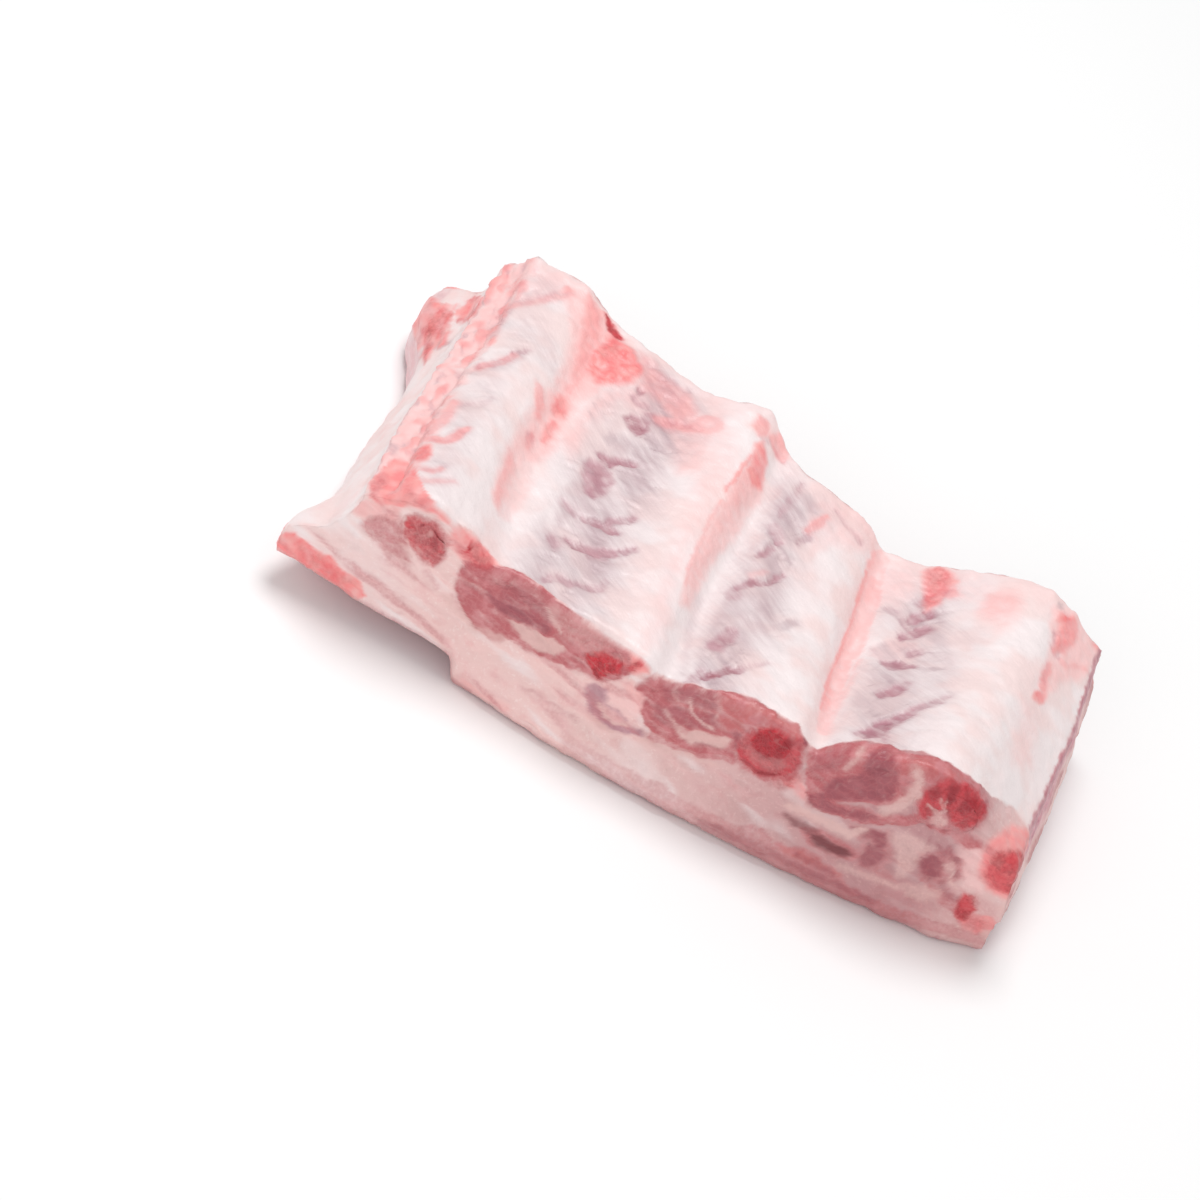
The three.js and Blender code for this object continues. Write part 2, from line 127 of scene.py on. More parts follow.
    ("muscle", 0.95, "area", 0.7, [(35.8, 21.6), (38.4, 24.1), (41.9, 23.3), (45.2, 23.7), (49.1, 25.3), (53.0, 26.9), (56.0, 27.8), (58.9, 31.4), (60.9, 29.5), (57.2, 25.3), (52.7, 22.6), (47.8, 20.7), (42.6, 19.2), (38.7, 18.3)]),
    ("dark", 0.75, "area", 0.9, [(36.5, 21.1), (38.7, 23.6), (41.2, 22.2), (44.6, 22.4), (49.4, 24.6), (51.8, 24.5), (48.8, 22.0), (44.4, 20.4), (40.2, 19.3), (37.1, 18.4)]),
    ("pale", 0.85, "streak", 1, [(33.7, 15.9, 0.8), (39.1, 16.6, 0.9), (43.7, 16.8, 0.9), (48.4, 16.7, 0.8), (50.0, 19.3, 0.5)]),
    ("deep", 0.55, "streak", 0.8, [(34.6, 13.4, 0.5), (37.6, 13.1, 0.8), (41.2, 13.1, 0.8)]),
    ("deep", 0.95, "area", 0.9, [(40.0, 11.9), (43.1, 13.1), (46.5, 13.2), (49.7, 13.0), (51.1, 12.0), (49.1, 10.1), (45.6, 10.1), (42.4, 10.4)]),
    ("muscle", 0.8, "area", 1.2, [(37.7, 12.5), (42.4, 14.6), (49.3, 14.7), (52.9, 13.1), (51.4, 10.3), (46.4, 9.0), (41.1, 9.2)]),
    ("dark", 0.85, "area", 0.9, [(47.5, 18.7), (51.3, 20.5), (54.9, 20.2), (55.9, 17.6), (54.7, 16.2), (52.8, 18.2), (49.9, 17.6)]),
    ("dark", 0.7, "area", 0.9, [(52.1, 16.8), (54.6, 17.4), (57.2, 15.8), (56.5, 12.2), (54.2, 10.2), (52.6, 11.7), (53.0, 13.9)]),
    ("muscle", 0.5, "area", 1.4, [(47.3, 19.1), (55.4, 21.7), (58.6, 16.7), (57.9, 11.1), (53.2, 9.5), (50.8, 15.7)]),
    ("dark", 0.5, "streak", 0.8, [(41.3, 5.5, 0.5), (45.3, 5.7, 0.8), (49.5, 5.2, 0.5)]),
    ("muscle", 0.9, "area", 0.8, [(-11.3, 3.6), (-5.2, 3.4), (-1.9, 4.1), (2.4, 2.5), (6.3, 4.6), (10.1, 4.1), (12.8, 3.5), (18.6, 3.9), (23.5, 4.8), (26.9, 4.1), (29.4, 6.5), (32.9, 6.8), (35.6, 4.6), (40.8, 7.7), (45.5, 7.8), (50.5, 6.2), (54.4, 3.8), (58.9, 4.0), (62.5, 3.9), (63.6, 1.3), (53.7, 0.1), (44.4, -0.1), (34.9, -0.4), (25.3, -0.3), (15.6, -0.2), (6.2, -0.6), (-3.9, 0.5)]),
    ("dark", 0.5, "streak", 1, [(20.1, 0.5, 0.8), (26.9, 1.5, 1.1), (33.8, 2.0, 1.1), (40.8, 2.6, 1.1), (50.1, 3.0, 0.8), (59.4, 3.0, 0.8)]),
    ("muscle", 0.8, "area", 1.4, [(55.9, 38.3), (59.5, 42.4), (64.1, 43.2), (68.1, 41.4), (70.5, 38.4), (70.8, 32.9), (68.3, 29.5), (65.5, 27.2), (62.1, 27.0), (58.6, 28.7), (55.8, 32.7)]),
    ("dark", 0.7, "streak", 0.5, [(69.2, 37.6, 0.3), (68.8, 39.9, 0.4)]),
    ("muscle", 0.8, "area", 1.1, [(65.7, 29.2), (69.0, 29.9), (72.5, 30.2), (74.0, 28.0), (71.2, 26.2), (67.6, 26.0)]),
    ("red", 0.3, "spot", 0, [(70.9, 27.9), (2.0, 0.7), (0.5, -1.6)]),
    ("dark", 0.8, "area", 0.9, [(63.8, 18.5), (65.5, 20.8), (68.2, 19.9), (69.1, 16.0), (67.3, 13.9), (65.0, 15.4)]),
    ("muscle", 0.6, "area", 1.2, [(62.4, 19.6), (68.0, 24.3), (72.1, 22.4), (73.6, 18.2), (70.4, 14.2), (66.0, 12.8)]),
    ("dark", 0.6, "spot", 0, [(70.3, 21.9), (0.9, 0.6), (0.5, -1.0)]),
    ("dark", 0.6, "spot", 0, [(71.7, 18.9), (0.9, 0.6), (0.4, -0.9)]),
    ("pale", 0.5, "spot", 0, [(69.7, 19.6), (0.9, 0.6), (0.7, -1.5)]),
    ("dark", 0.5, "streak", 0.7, [(65.0, 23.7, 0.5), (67.3, 21.9, 0.6), (67.4, 24.5, 0.5), (69.5, 22.0, 0.3)]),
    ("dark", 0.5, "streak", 0.8, [(70.2, 14.7, 0.6), (72.4, 12.9, 0.8), (74.9, 12.6, 0.8)]),
    ("muscle", 0.7, "streak", 1.2, [(68.8, 12.6, 1.0), (72.9, 11.3, 1.6), (76.5, 10.3, 1.6)]),
    ("red", 0.85, "area", 1.1, [(75.3, 11.8), (75.7, 15.3), (77.9, 15.2), (79.7, 12.5), (79.2, 9.5), (78.0, 7.1), (76.1, 8.1)]),
    ("salmon", 0.85, "area", 1.2, [(77.4, 8.3), (80.0, 11.4), (83.4, 12.5), (85.6, 10.1), (83.4, 6.6), (79.5, 5.9)]),
    ("red", 0.3, "spot", 0, [(81.1, 8.9), (2.7, 1.1), (0.5, -1.6)]),
    ("salmon", 0.85, "area", 1.8, [(74.5, 32.8), (76.2, 37.0), (80.6, 37.4), (84.3, 33.9), (86.5, 27.6), (86.5, 21.8), (83.4, 18.3), (79.1, 18.5), (75.3, 22.5), (74.0, 28.0)]),
    ("red", 0.75, "area", 1.6, [(76.1, 24.3), (76.3, 28.6), (78.6, 31.0), (82.2, 30.9), (85.0, 28.1), (85.4, 23.0), (83.4, 20.3), (79.8, 20.0), (76.9, 21.6)]),
    ("dark", 0.35, "streak", 0.5, [(78.9, 24.8, 0.4), (80.3, 26.1, 0.5), (82.3, 26.5, 0.4)]),
    ("pale", 0.5, "spot", 0, [(85.6, 17.9), (2.2, 3.0), (1.0, -1.2)]),
    ("pale", 0.6, "spot", 0, [(84.3, 7.3), (1.4, 1.0), (0.6, -1.2)]),
    ("pink", 0.6, "area", 2, [(69.5, 25.9), (74.0, 28.6), (78.4, 17.1), (74.6, 16.2)]),
    ("muscle", 0.3, "area", 2.5, [(58.6, 9.6), (68.8, 12.6), (79.8, 16.5), (83.9, 15.4), (84.6, 6.8), (75.6, 3.2), (64.2, 2.6), (57.1, 2.9)]),
    ("pale", 0.6, "area", 1.4, [(55.3, 21.0), (58.1, 23.4), (61.8, 23.7), (64.5, 22.8), (63.7, 19.7), (63.6, 16.5), (63.0, 12.3), (60.8, 11.6), (59.6, 16.0), (57.3, 19.1)]),
    ("pale", 0.6, "area", 1.5, [(63.3, 10.5), (67.2, 12.2), (70.9, 13.2), (71.6, 10.8), (68.6, 8.2), (65.1, 7.7)]),
    ("pale", 0.5, "streak", 0.9, [(49.7, 7.9, 0.5), (54.3, 8.0, 0.8), (59.1, 8.6, 0.8), (63.4, 9.3, 0.7)]),
    ("pale", 0.8, "streak", 0.4, [(-11.6, 16.4, 0.2), (-9.5, 14.3, 0.3), (-7.0, 13.6, 0.4), (-4.2, 14.4, 0.3)]),
    ("pale", 0.8, "streak", 0.4, [(-11.7, 11.7, 0.2), (-8.6, 11.2, 0.3), (-5.6, 10.9, 0.3)]),
    ("mauve", 0.6, "streak", 0.5, [(-9.7, 17.0, 0.4), (-7.1, 16.7, 0.5), (-4.4, 15.8, 0.5)]),
    ("pale", 0.75, "streak", 0.5, [(-29.8, 30.1, 0.3), (-27.8, 28.4, 0.5), (-25.5, 26.6, 0.4)]),
    ("pale", 0.75, "streak", 0.4, [(4.6, 29.3, 0.2), (6.6, 26.4, 0.3), (9.3, 24.6, 0.3), (12.0, 24.9, 0.3)]),
    ("pale", 0.6, "streak", 0.5, [(0.3, 12.9, 0.4), (5.7, 13.6, 0.5), (11.2, 15.0, 0.5), (16.6, 16.3, 0.4)]),
    ("muscle", 0.4, "streak", 0.7, [(-40.3, 1.5, 0.4), (-34.4, 2.2, 0.5), (-28.0, 3.6, 0.5)]),
    ("muscle", 0.35, "streak", 0.7, [(-27.0, 8.2, 0.4), (-20.3, 8.9, 0.5), (-13.7, 8.9, 0.5)]),
    ("salmon", 0.26, "streak", 1.2, [(-38.4, 1.1, 0.7), (-33.7, 0.6, 0.8), (-27.8, 1.3, 0.8)]),
    ("brick", 0.7, "streak", 0.8, [(36.1, 5.6, 0.4), (40.8, 5.7, 0.7), (45.4, 6.0, 0.7), (50.7, 5.7, 0.4)]),
    ("dark", 0.5, "streak", 0.6, [(63.2, 24.6, 0.3), (63.5, 21.6, 0.3), (64.8, 19.2, 0.3)]),
    ("pale", 0.7, "streak", 0.5, [(68.8, 19.6, 0.3), (70.9, 19.0, 0.3), (71.5, 16.2, 0.3), (73.9, 15.2, 0.3)]),
    ("muscle", 0.9, "area", 0.8, [(-15.8, 5.4), (-5.5, 4.1), (4.1, 4.2), (9.8, 4.9), (12.4, 2.6), (16.8, 2.6), (23.7, 4.3), (28.4, 4.5), (32.0, 7.1), (35.0, 5.8), (34.9, 2.8), (43.3, 2.4), (52.9, 1.9), (61.7, 3.1), (72.6, 4.6), (84.3, 7.3), (85.8, 4.4), (67.8, -0.1), (45.5, -2.6), (21.4, -2.4), (7.2, -3.0), (-13.3, -0.2)]),
]
BONE_MARKS = [
    ("red", 0.6, "area", 1.2, [(-64.6, 32.3), (-63.3, 34.4), (-60.8, 34.0), (-59.0, 35.9), (-56.6, 33.4), (-54.7, 31.1), (-54.1, 27.9), (-55.3, 24.6), (-58.2, 24.8), (-61.2, 26.3), (-63.7, 28.8)]),
    ("blood", 0.8, "spot", 0, [(-61.1, 32.9), (0.6, 0.4), (0.2, -0.6)]),
    ("red", 0.9, "spot", 0, [(-63.3, 31.4), (1.1, 0.8), (0.5, -1.2)]),
    ("blood", 0.7, "spot", 0, [(-57.0, 30.4), (0.9, 0.6), (0.8, -1.9)]),
    ("red", 0.8, "spot", 0, [(-55.0, 29.0), (0.9, 0.6), (0.4, -0.9)]),
    ("pale", 0.35, "spot", 0, [(-59.1, 31.6), (0.7, 0.5), (0.3, -0.7)]),
    ("pale", 0.35, "spot", 0, [(-59.5, 26.6), (0.6, 0.4), (0.5, -1.2)]),
    ("red", 0.95, "area", 0.9, [(-18.9, 25.5), (-17.4, 27.8), (-15.4, 29.2), (-13.1, 28.5), (-10.6, 28.3), (-10.5, 25.9), (-12.7, 24.2), (-13.7, 21.6), (-15.9, 22.7), (-17.4, 23.9)]),
    ("blood", 0.5, "spot", 0, [(-17.4, 26.1), (0.7, 0.6), (0.3, -0.7)]),
    ("blood", 0.5, "spot", 0, [(-12.5, 26.5), (0.9, 0.7), (0.4, -0.9)]),
    ("blood", 0.5, "streak", 0.5, [(-15.5, 23.5, 0.4), (-13.4, 22.1, 0.4)]),
    ("salmon", 0.3, "streak", 0.6, [(-15.7, 27.1, 0.5), (-13.6, 25.7, 0.5)]),
    ("red", 1, "area", 1, [(19.2, 26.9), (20.7, 30.7), (23.6, 32.5), (27.2, 31.4), (28.8, 29.6), (27.9, 26.9), (25.1, 25.2), (22.3, 25.7)]),
    ("blood", 0.6, "spot", 0, [(26.9, 30.5), (1.1, 0.8), (0.5, -1.2)]),
    ("blood", 0.4, "spot", 0, [(22.5, 29.3), (1.4, 1.0), (0.5, -1.2)]),
    ("pale", 0.12, "area", 1.4, [(19.9, 24.3), (21.1, 25.7), (24.7, 25.2), (28.1, 27.0), (29.3, 25.4), (26.3, 22.6), (22.8, 22.0)]),
    ("red", 0.6, "area", 1.6, [(17.9, 25.4), (19.0, 29.2), (22.2, 32.7), (26.2, 33.1), (29.7, 30.6), (30.6, 25.7), (28.1, 20.8), (23.9, 19.6), (20.2, 21.4)]),
    ("blood", 0.5, "area", 2, [(19.7, 26.6), (21.6, 29.8), (25.8, 30.9), (28.5, 29.1), (27.4, 25.3), (23.7, 23.2)]),
    ("red", 0.7, "streak", 1, [(19.6, 22.8, 0.6), (22.3, 21.0, 0.9), (25.8, 20.7, 1.1), (29.0, 23.0, 1.0), (30.4, 26.1, 0.7), (30.0, 29.6, 0.6), (28.3, 32.7, 0.6)]),
    ("blood", 0.6, "streak", 0.6, [(21.4, 21.0, 0.4), (24.5, 20.4, 0.5), (27.8, 21.5, 0.5)]),
    ("dark", 0.5, "streak", 0.8, [(16.9, 26.5, 0.6), (18.8, 23.5, 0.6), (21.7, 20.9, 0.5)]),
    ("red", 0.8, "area", 1.2, [(56.2, 34.8), (57.7, 38.8), (59.9, 41.4), (63.2, 42.1), (66.9, 41.2), (69.5, 38.4), (70.0, 33.7), (67.6, 31.0), (64.5, 31.7), (62.4, 34.2), (60.7, 32.5), (60.0, 29.6), (57.7, 30.7)]),
    ("blood", 0.9, "spot", 0, [(61.8, 37.5), (1.1, 0.6), (1.0, -2.2)]),
    ("blood", 0.8, "spot", 0, [(65.7, 36.4), (1.0, 1.5), (1.0, -1.2)]),
    ("blood", 0.6, "spot", 0, [(58.7, 36.3), (1.2, 0.7), (0.7, -1.5)]),
    ("blood", 0.5, "spot", 0, [(63.0, 33.9), (0.5, 0.3), (0.5, -1.0)]),
    ("red", 0.9, "spot", 0, [(67.1, 38.2), (1.4, 0.9), (1.0, -2.2)]),
    ("pale", 0.7, "spot", 0, [(62.4, 30.4), (1.4, 0.9), (0.8, -1.7)]),
    ("pale", 0.5, "streak", 0.4, [(58.8, 33.2, 0.3), (61.3, 31.6, 0.4), (62.7, 33.7, 0.3)]),
    ("pale", 0.4, "streak", 0.4, [(60.2, 36.0, 0.2), (62.1, 33.9, 0.3)]),
    ("pale", 0.4, "spot", 0, [(61.7, 35.3), (0.4, 0.1), (0.6, -1.8)]),
    ("blood", 0.5, "spot", 0, [(61.6, 28.0), (0.9, 0.5), (0.3, -0.7)]),
    ("blood", 0.45, "spot", 0, [(64.9, 28.4), (0.9, 0.5), (0.2, -0.5)]),
]
LEFT_MARKS = [
    ("salmon", 1, "area", 1.2, [(59.3, 5.7), (59.3, 9.5), (68.2, 7.3), (55.4, 18.3), (47.9, 19.2), (40.4, 19.8), (41.1, 15.8), (35.2, 15.3), (48.1, 10.2)]),
    ("red", 0.35, "spot", 0, [(49.2, 16.3), (-1.2, 2.7), (-4.5, 0.3)]),
    ("red", 0.35, "spot", 0, [(51.6, 17.9), (-0.4, 1.0), (-3.3, 0.4)]),
    ("grey", 0.6, "streak", 1, [(43.0, 12.8, 1.6), (42.4, 16.1, 0.9), (40.6, 19.5, 1.2)]),
    ("pale", 1, "streak", 1.2, [(52.9, 18.6, 0.4), (45.1, 20.1, 0.7), (35.5, 21.3, 2.6), (27.6, 20.4, 3.3), (21.2, 21.5, 1.3)]),
    ("salmon", 1, "area", 1.2, [(54.6, 18.8), (59.9, 20.2), (47.8, 31.7), (41.6, 32.0), (35.8, 31.7), (48.7, 20.9)]),
    ("red", 0.65, "spot", 0, [(42.7, 31.2), (-0.7, 0.9), (-4.4, 0.1)]),
    ("dark", 0.2, "spot", 0, [(40.5, 31.6), (0.0, 0.4), (-2.2, 0.2)]),
    ("pale", 0.8, "streak", 1.2, [(33.6, 31.1, 6.7), (24.9, 30.7, 9.1), (15.1, 30.7, 10.5), (4.9, 31.0, 11.0), (-8.2, 31.3, 10.0), (-11.5, 25.3, 8.8), (-18.2, 21.7, 6.0), (-28.9, 19.5, 4.3)]),
]
TOP_MARKS = [
    ("pink", 0.55, "area", 2.5, [(-69.6, 55.6), (-63.0, 59.6), (-56.2, 60.4), (-50.9, 58.3), (-50.9, 51.0), (-54.3, 46.6), (-59.3, 50.0), (-65.9, 46.2), (-69.8, 41.9), (-70.7, 47.6)]),
    ("mauve", 0.3, "streak", 1.2, [(-70.2, 41.1, 0.7), (-66.6, 44.7, 0.9), (-63.0, 48.6, 0.8), (-58.4, 54.9, 0.5)]),
    ("salmon", 0.3, "streak", 1.2, [(-70.0, 40.4, 0.7), (-66.4, 44.0, 0.9), (-62.7, 48.0, 0.8), (-58.2, 54.4, 0.5)]),
    ("salmon", 0.5, "spot", 0, [(-69.0, 50.1), (1.5, 1.2), (0.8, -2.4)]),
    ("salmon", 0.55, "streak", 0.8, [(-72.8, 56.0, 0.7), (-72.3, 50.8, 0.9)]),
    ("salmon", 0.45, "spot", 0, [(-59.6, 55.1), (1.3, 1.7), (0.6, -1.4)]),
    ("mauve", 0.35, "streak", 1, [(-68.6, 42.7, 0.7), (-68.9, 36.9, 0.7), (-68.7, 30.6, 0.7)]),
    ("mauve", 0.6, "streak", 0.9, [(-67.5, 15.8, 0.6), (-65.8, 18.1, 1.0), (-64.1, 21.1, 1.0), (-62.4, 24.4, 0.8), (-60.4, 29.5, 0.4)]),
    ("salmon", 0.4, "streak", 1, [(-67.5, 15.8, 0.9), (-64.0, 20.8, 1.0), (-62.0, 24.8, 0.7)]),
    ("grey", 0.45, "streak", 2, [(-67.8, 13.8, 1.3), (-63.9, 18.3, 1.3), (-61.1, 25.2, 0.9)]),
    ("grey", 0.3, "streak", 3, [(-68.1, 34.5, 1.8), (-59.3, 35.3, 3.0), (-54.9, 28.9, 2.0)]),
    ("mauve", 0.28, "streak", 1.2, [(-66.7, -0.9, 0.7), (-63.9, 1.9, 0.8), (-61.7, 6.0, 0.5)]),
    ("salmon", 0.6, "streak", 1, [(-68.2, -15.8, 1.5), (-66.0, -15.4, 1.3), (-64.2, -12.2, 0.9), (-63.0, -8.2, 0.6)]),
    ("mauve", 0.35, "streak", 0.8, [(-67.1, -16.3, 1.0), (-64.9, -14.4, 0.8), (-63.3, -10.3, 0.7)]),
    ("salmon", 0.55, "streak", 1.2, [(-68.5, -0.1, 0.9), (-68.3, -5.3, 1.1), (-69.0, -10.2, 1.2), (-70.3, -14.4, 1.1)]),
    ("salmon", 1, "spot", 0, [(-68.6, -21.6), (1.6, 1.2), (1.1, -3.5)]),
    ("red", 0.2, "spot", 0, [(-68.4, -22.8), (1.1, 0.8), (0.7, -2.1)]),
    ("salmon", 0.45, "streak", 0.9, [(-68.0, -27.6, 1.0), (-65.6, -28.0, 1.0), (-63.6, -26.5, 0.7)]),
    ("mauve", 0.35, "streak", 1, [(-66.0, -28.0, 0.7), (-63.6, -26.5, 0.6), (-62.6, -23.6, 0.4)]),
    ("mauve", 0.25, "streak", 1.2, [(-65.6, -32.1, 0.7), (-62.5, -30.7, 0.7), (-59.6, -28.1, 0.4)]),
    ("salmon", 0.3, "streak", 1.2, [(-65.6, -32.1, 0.7), (-62.5, -30.7, 0.7), (-59.6, -28.1, 0.4)]),
    ("pink", 0.95, "area", 2.6, [(-61.4, 56.7), (-55.6, 58.8), (-50.2, 57.9), (-46.6, 54.6), (-40.2, 43.0), (-42.3, 33.2), (-44.7, 27.2), (-45.3, 17.5), (-44.6, 8.2), (-46.7, 1.4), (-49.8, -3.5), (-48.3, -15.0), (-48.5, -23.0), (-51.5, -20.6), (-52.9, -12.8), (-53.5, -3.3), (-53.4, 7.5), (-53.5, 16.5), (-51.8, 23.6), (-52.1, 32.9), (-53.5, 41.8), (-57.1, 48.8)]),
    ("salmon", 1, "area", 2.4, [(-46.3, 53.6), (-40.6, 51.5), (-35.9, 47.4), (-37.2, 41.5), (-40.8, 37.6), (-44.1, 35.6), (-47.5, 37.6), (-48.1, 44.4), (-46.9, 49.5)]),
    ("salmon", 0.95, "spot", 0, [(-43.9, 47.9), (3.5, -1.2), (-0.6, -4.8)]),
    ("red", 0.22, "spot", 0, [(-44.9, 47.8), (2.2, -0.7), (-0.4, -3.1)]),
    ("red", 0.9, "streak", 0.6, [(-48.9, 57.0, 0.4), (-46.8, 54.5, 0.9), (-44.6, 53.8, 1.0)]),
    ("salmon", 0.6, "streak", 1, [(-49.5, 57.3, 0.6), (-47.3, 55.3, 0.9), (-44.3, 53.6, 1.0)]),
    ("salmon", 0.6, "area", 2.6, [(-55.1, 57.7), (-50.3, 56.6), (-47.3, 47.9), (-47.5, 39.6), (-48.4, 32.1), (-48.2, 25.9), (-49.8, 35.0), (-51.6, 44.2)]),
    ("salmon", 0.45, "streak", 1.2, [(-47.4, 40.9, 0.7), (-47.9, 34.9, 0.7), (-48.1, 28.4, 0.7)]),
    ("salmon", 0.95, "spot", 0, [(-48.2, 21.8), (1.9, 1.6), (1.2, -3.5)]),
    ("red", 0.2, "spot", 0, [(-49.0, 19.6), (0.9, 0.7), (0.6, -1.9)]),
    ("salmon", 0.5, "streak", 1, [(-54.4, 19.9, 1.0), (-52.8, 16.8, 1.1), (-51.5, 12.7, 0.7)]),
    ("salmon", 0.7, "streak", 1, [(-47.7, 15.8, 0.9), (-47.8, 11.8, 0.9), (-47.9, 8.5, 0.6)]),
    ("mauve", 0.4, "spot", 0, [(-50.5, 5.1), (1.1, 1.0), (0.7, -2.2)]),
    ("salmon", 0.45, "streak", 1, [(-50.5, 7.1, 0.6), (-50.4, 2.4, 0.6)]),
    ("salmon", 0.35, "streak", 1, [(-52.3, -4.0, 0.5), (-51.9, -10.1, 0.7), (-51.0, -15.9, 0.7), (-50.0, -21.4, 0.6)]),
    ("pink", 0.5, "area", 2, [(-52.0, -4.8), (-47.3, 1.0), (-45.3, -8.5), (-45.9, -21.0), (-48.6, -23.9), (-50.7, -15.4)]),
    ("salmon", 0.42, "area", 3, [(-38.8, 52.2), (-32.4, 49.5), (-24.9, 46.8), (-21.1, 41.6), (-21.2, 34.5), (-29.9, 40.3), (-35.3, 41.9)]),
    ("pink", 0.75, "area", 3.5, [(-42.5, 33.8), (-35.3, 41.9), (-24.0, 44.1), (-16.2, 36.1), (-15.1, 21.7), (-18.9, 19.5), (-24.9, 31.9), (-37.6, 34.0), (-40.8, 21.5), (-40.9, 7.5), (-44.9, 11.9)]),
    ("mauve", 0.35, "streak", 0.8, [(-29.8, 49.1, 0.5), (-27.4, 47.6, 0.6), (-25.2, 46.6, 0.5)]),
    ("mauve", 0.3, "spot", 0, [(-25.2, 47.9), (0.8, 0.4), (0.4, -1.4)]),
    ("mauve", 0.8, "spot", 0, [(-34.5, 40.2), (1.0, 0.8), (0.5, -1.5)]),
    ("mauve", 0.6, "streak", 0.9, [(-35.0, 37.8, 0.9), (-33.3, 36.5, 1.3), (-31.6, 36.6, 1.0)]),
    ("dark", 0.2, "spot", 0, [(-34.5, 40.2), (0.8, 0.6), (0.4, -1.2)]),
    ("mauve", 0.95, "area", 0.9, [(-35.2, 29.8), (-33.7, 31.8), (-31.1, 33.1), (-29.2, 32.2), (-28.9, 28.5), (-30.7, 26.7), (-32.9, 27.4)]),
    ("dark", 0.36, "area", 0.8, [(-34.5, 30.0), (-32.1, 32.3), (-29.9, 31.6), (-29.8, 28.2), (-32.0, 27.7)]),
    ("mauve", 0.55, "streak", 1.4, [(-30.0, 33.2, 1.7), (-27.8, 34.0, 2.1), (-25.9, 33.7, 1.4)]),
    ("salmon", 0.45, "streak", 1.4, [(-28.0, 34.6, 1.0), (-24.6, 35.6, 1.8), (-21.4, 36.7, 2.1), (-17.7, 39.1, 3.0)]),
    ("mauve", 0.5, "streak", 0.7, [(-26.4, 35.3, 0.5), (-23.7, 35.7, 0.9), (-21.7, 36.2, 0.7)]),
    ("grey", 0.8, "spot", 0, [(-35.2, 21.1), (1.9, 1.6), (0.9, -2.7)]),
    ("grey", 0.5, "streak", 1, [(-41.9, 28.4, 0.6), (-38.4, 25.5, 0.9), (-34.9, 22.5, 0.9)]),
    ("grey", 0.5, "streak", 1, [(-41.8, 24.6, 0.6), (-37.7, 21.4, 0.9), (-34.6, 19.3, 0.9)]),
    ("mauve", 0.95, "streak", 0.8, [(-35.5, 14.6, 0.8), (-33.3, 14.1, 1.5), (-32.0, 16.0, 1.2), (-30.2, 16.3, 1.3), (-28.5, 17.1, 0.8)]),
    ("dark", 0.16, "streak", 0.7, [(-34.4, 14.4, 0.8), (-31.8, 15.4, 0.8), (-29.3, 16.5, 0.7)]),
    ("mauve", 0.88, "area", 1.3, [(-38.2, 9.1), (-37.2, 12.4), (-34.8, 12.8), (-31.9, 11.3), (-30.3, 7.9), (-31.0, 2.7), (-32.5, -0.2), (-35.2, 0.7), (-37.1, 5.0)]),
    ("dark", 0.14, "streak", 1, [(-35.0, 10.3, 1.0), (-33.4, 7.0, 1.1), (-32.9, 2.6, 0.6)]),
    ("grey", 0.7, "area", 3, [(-39.2, -4.9), (-38.0, 6.2), (-36.3, 15.5), (-34.3, 24.2), (-29.6, 24.9), (-30.9, 8.3), (-27.7, 2.9), (-31.0, -7.6), (-34.8, -10.9), (-36.1, -20.2)]),
    ("grey", 0.6, "streak", 0.8, [(-29.5, 18.7, 0.6), (-27.0, 20.5, 0.9), (-24.0, 20.4, 0.7), (-21.9, 19.2, 0.4)]),
    ("mauve", 0.5, "streak", 1, [(-38.3, -6.1, 1.0), (-36.0, -7.2, 1.2), (-33.9, -7.7, 0.9)]),
    ("mauve", 0.85, "streak", 0.8, [(-32.5, -7.7, 0.7), (-30.1, -7.6, 1.0), (-28.0, -6.7, 1.2), (-26.0, -7.2, 1.0), (-24.2, -7.2, 0.5)]),
    ("mauve", 0.7, "streak", 1, [(-27.8, -5.8, 0.9), (-25.8, -3.5, 1.0), (-23.7, -1.4, 1.0), (-22.5, 0.5, 0.6)]),
    ("dark", 0.14, "streak", 0.7, [(-30.5, -7.6, 0.5), (-27.9, -7.1, 0.9), (-25.6, -6.9, 0.7)]),
    ("mauve", 0.5, "spot", 0, [(-35.6, -20.1), (1.8, -0.9), (-0.4, -2.4)]),
    ("grey", 0.5, "streak", 1, [(-38.4, -18.3, 0.8), (-35.3, -22.7, 1.1), (-33.2, -24.8, 0.9)]),
    ("mauve", 0.85, "streak", 0.9, [(-33.7, -17.2, 0.9), (-31.3, -17.1, 1.2), (-29.1, -16.8, 1.2), (-26.5, -16.2, 1.4), (-24.2, -14.6, 1.3), (-21.7, -12.7, 1.0), (-19.6, -10.7, 0.6)]),
    ("dark", 0.12, "streak", 0.8, [(-31.0, -16.8, 0.7), (-27.8, -16.5, 0.9), (-25.3, -15.4, 0.7)]),
    ("mauve", 0.4, "streak", 1, [(-27.5, -19.0, 0.6), (-24.7, -16.9, 0.8)]),
    ("mauve", 0.55, "streak", 0.8, [(-33.8, -34.2, 0.6), (-32.5, -31.4, 0.8), (-30.6, -30.0, 1.0), (-28.5, -30.6, 0.9)]),
    ("mauve", 0.6, "streak", 0.9, [(-30.4, -30.7, 0.7), (-27.6, -29.8, 0.8), (-24.5, -28.5, 1.0), (-22.2, -27.2, 0.8)]),
    ("mauve", 0.5, "spot", 0, [(-21.8, -25.0), (0.9, 0.6), (0.6, -1.9)]),
    ("grey", 0.5, "streak", 2, [(-33.9, -32.3, 1.4), (-28.6, -30.3, 1.6), (-22.9, -26.5, 1.5), (-20.3, -23.2, 0.8)]),
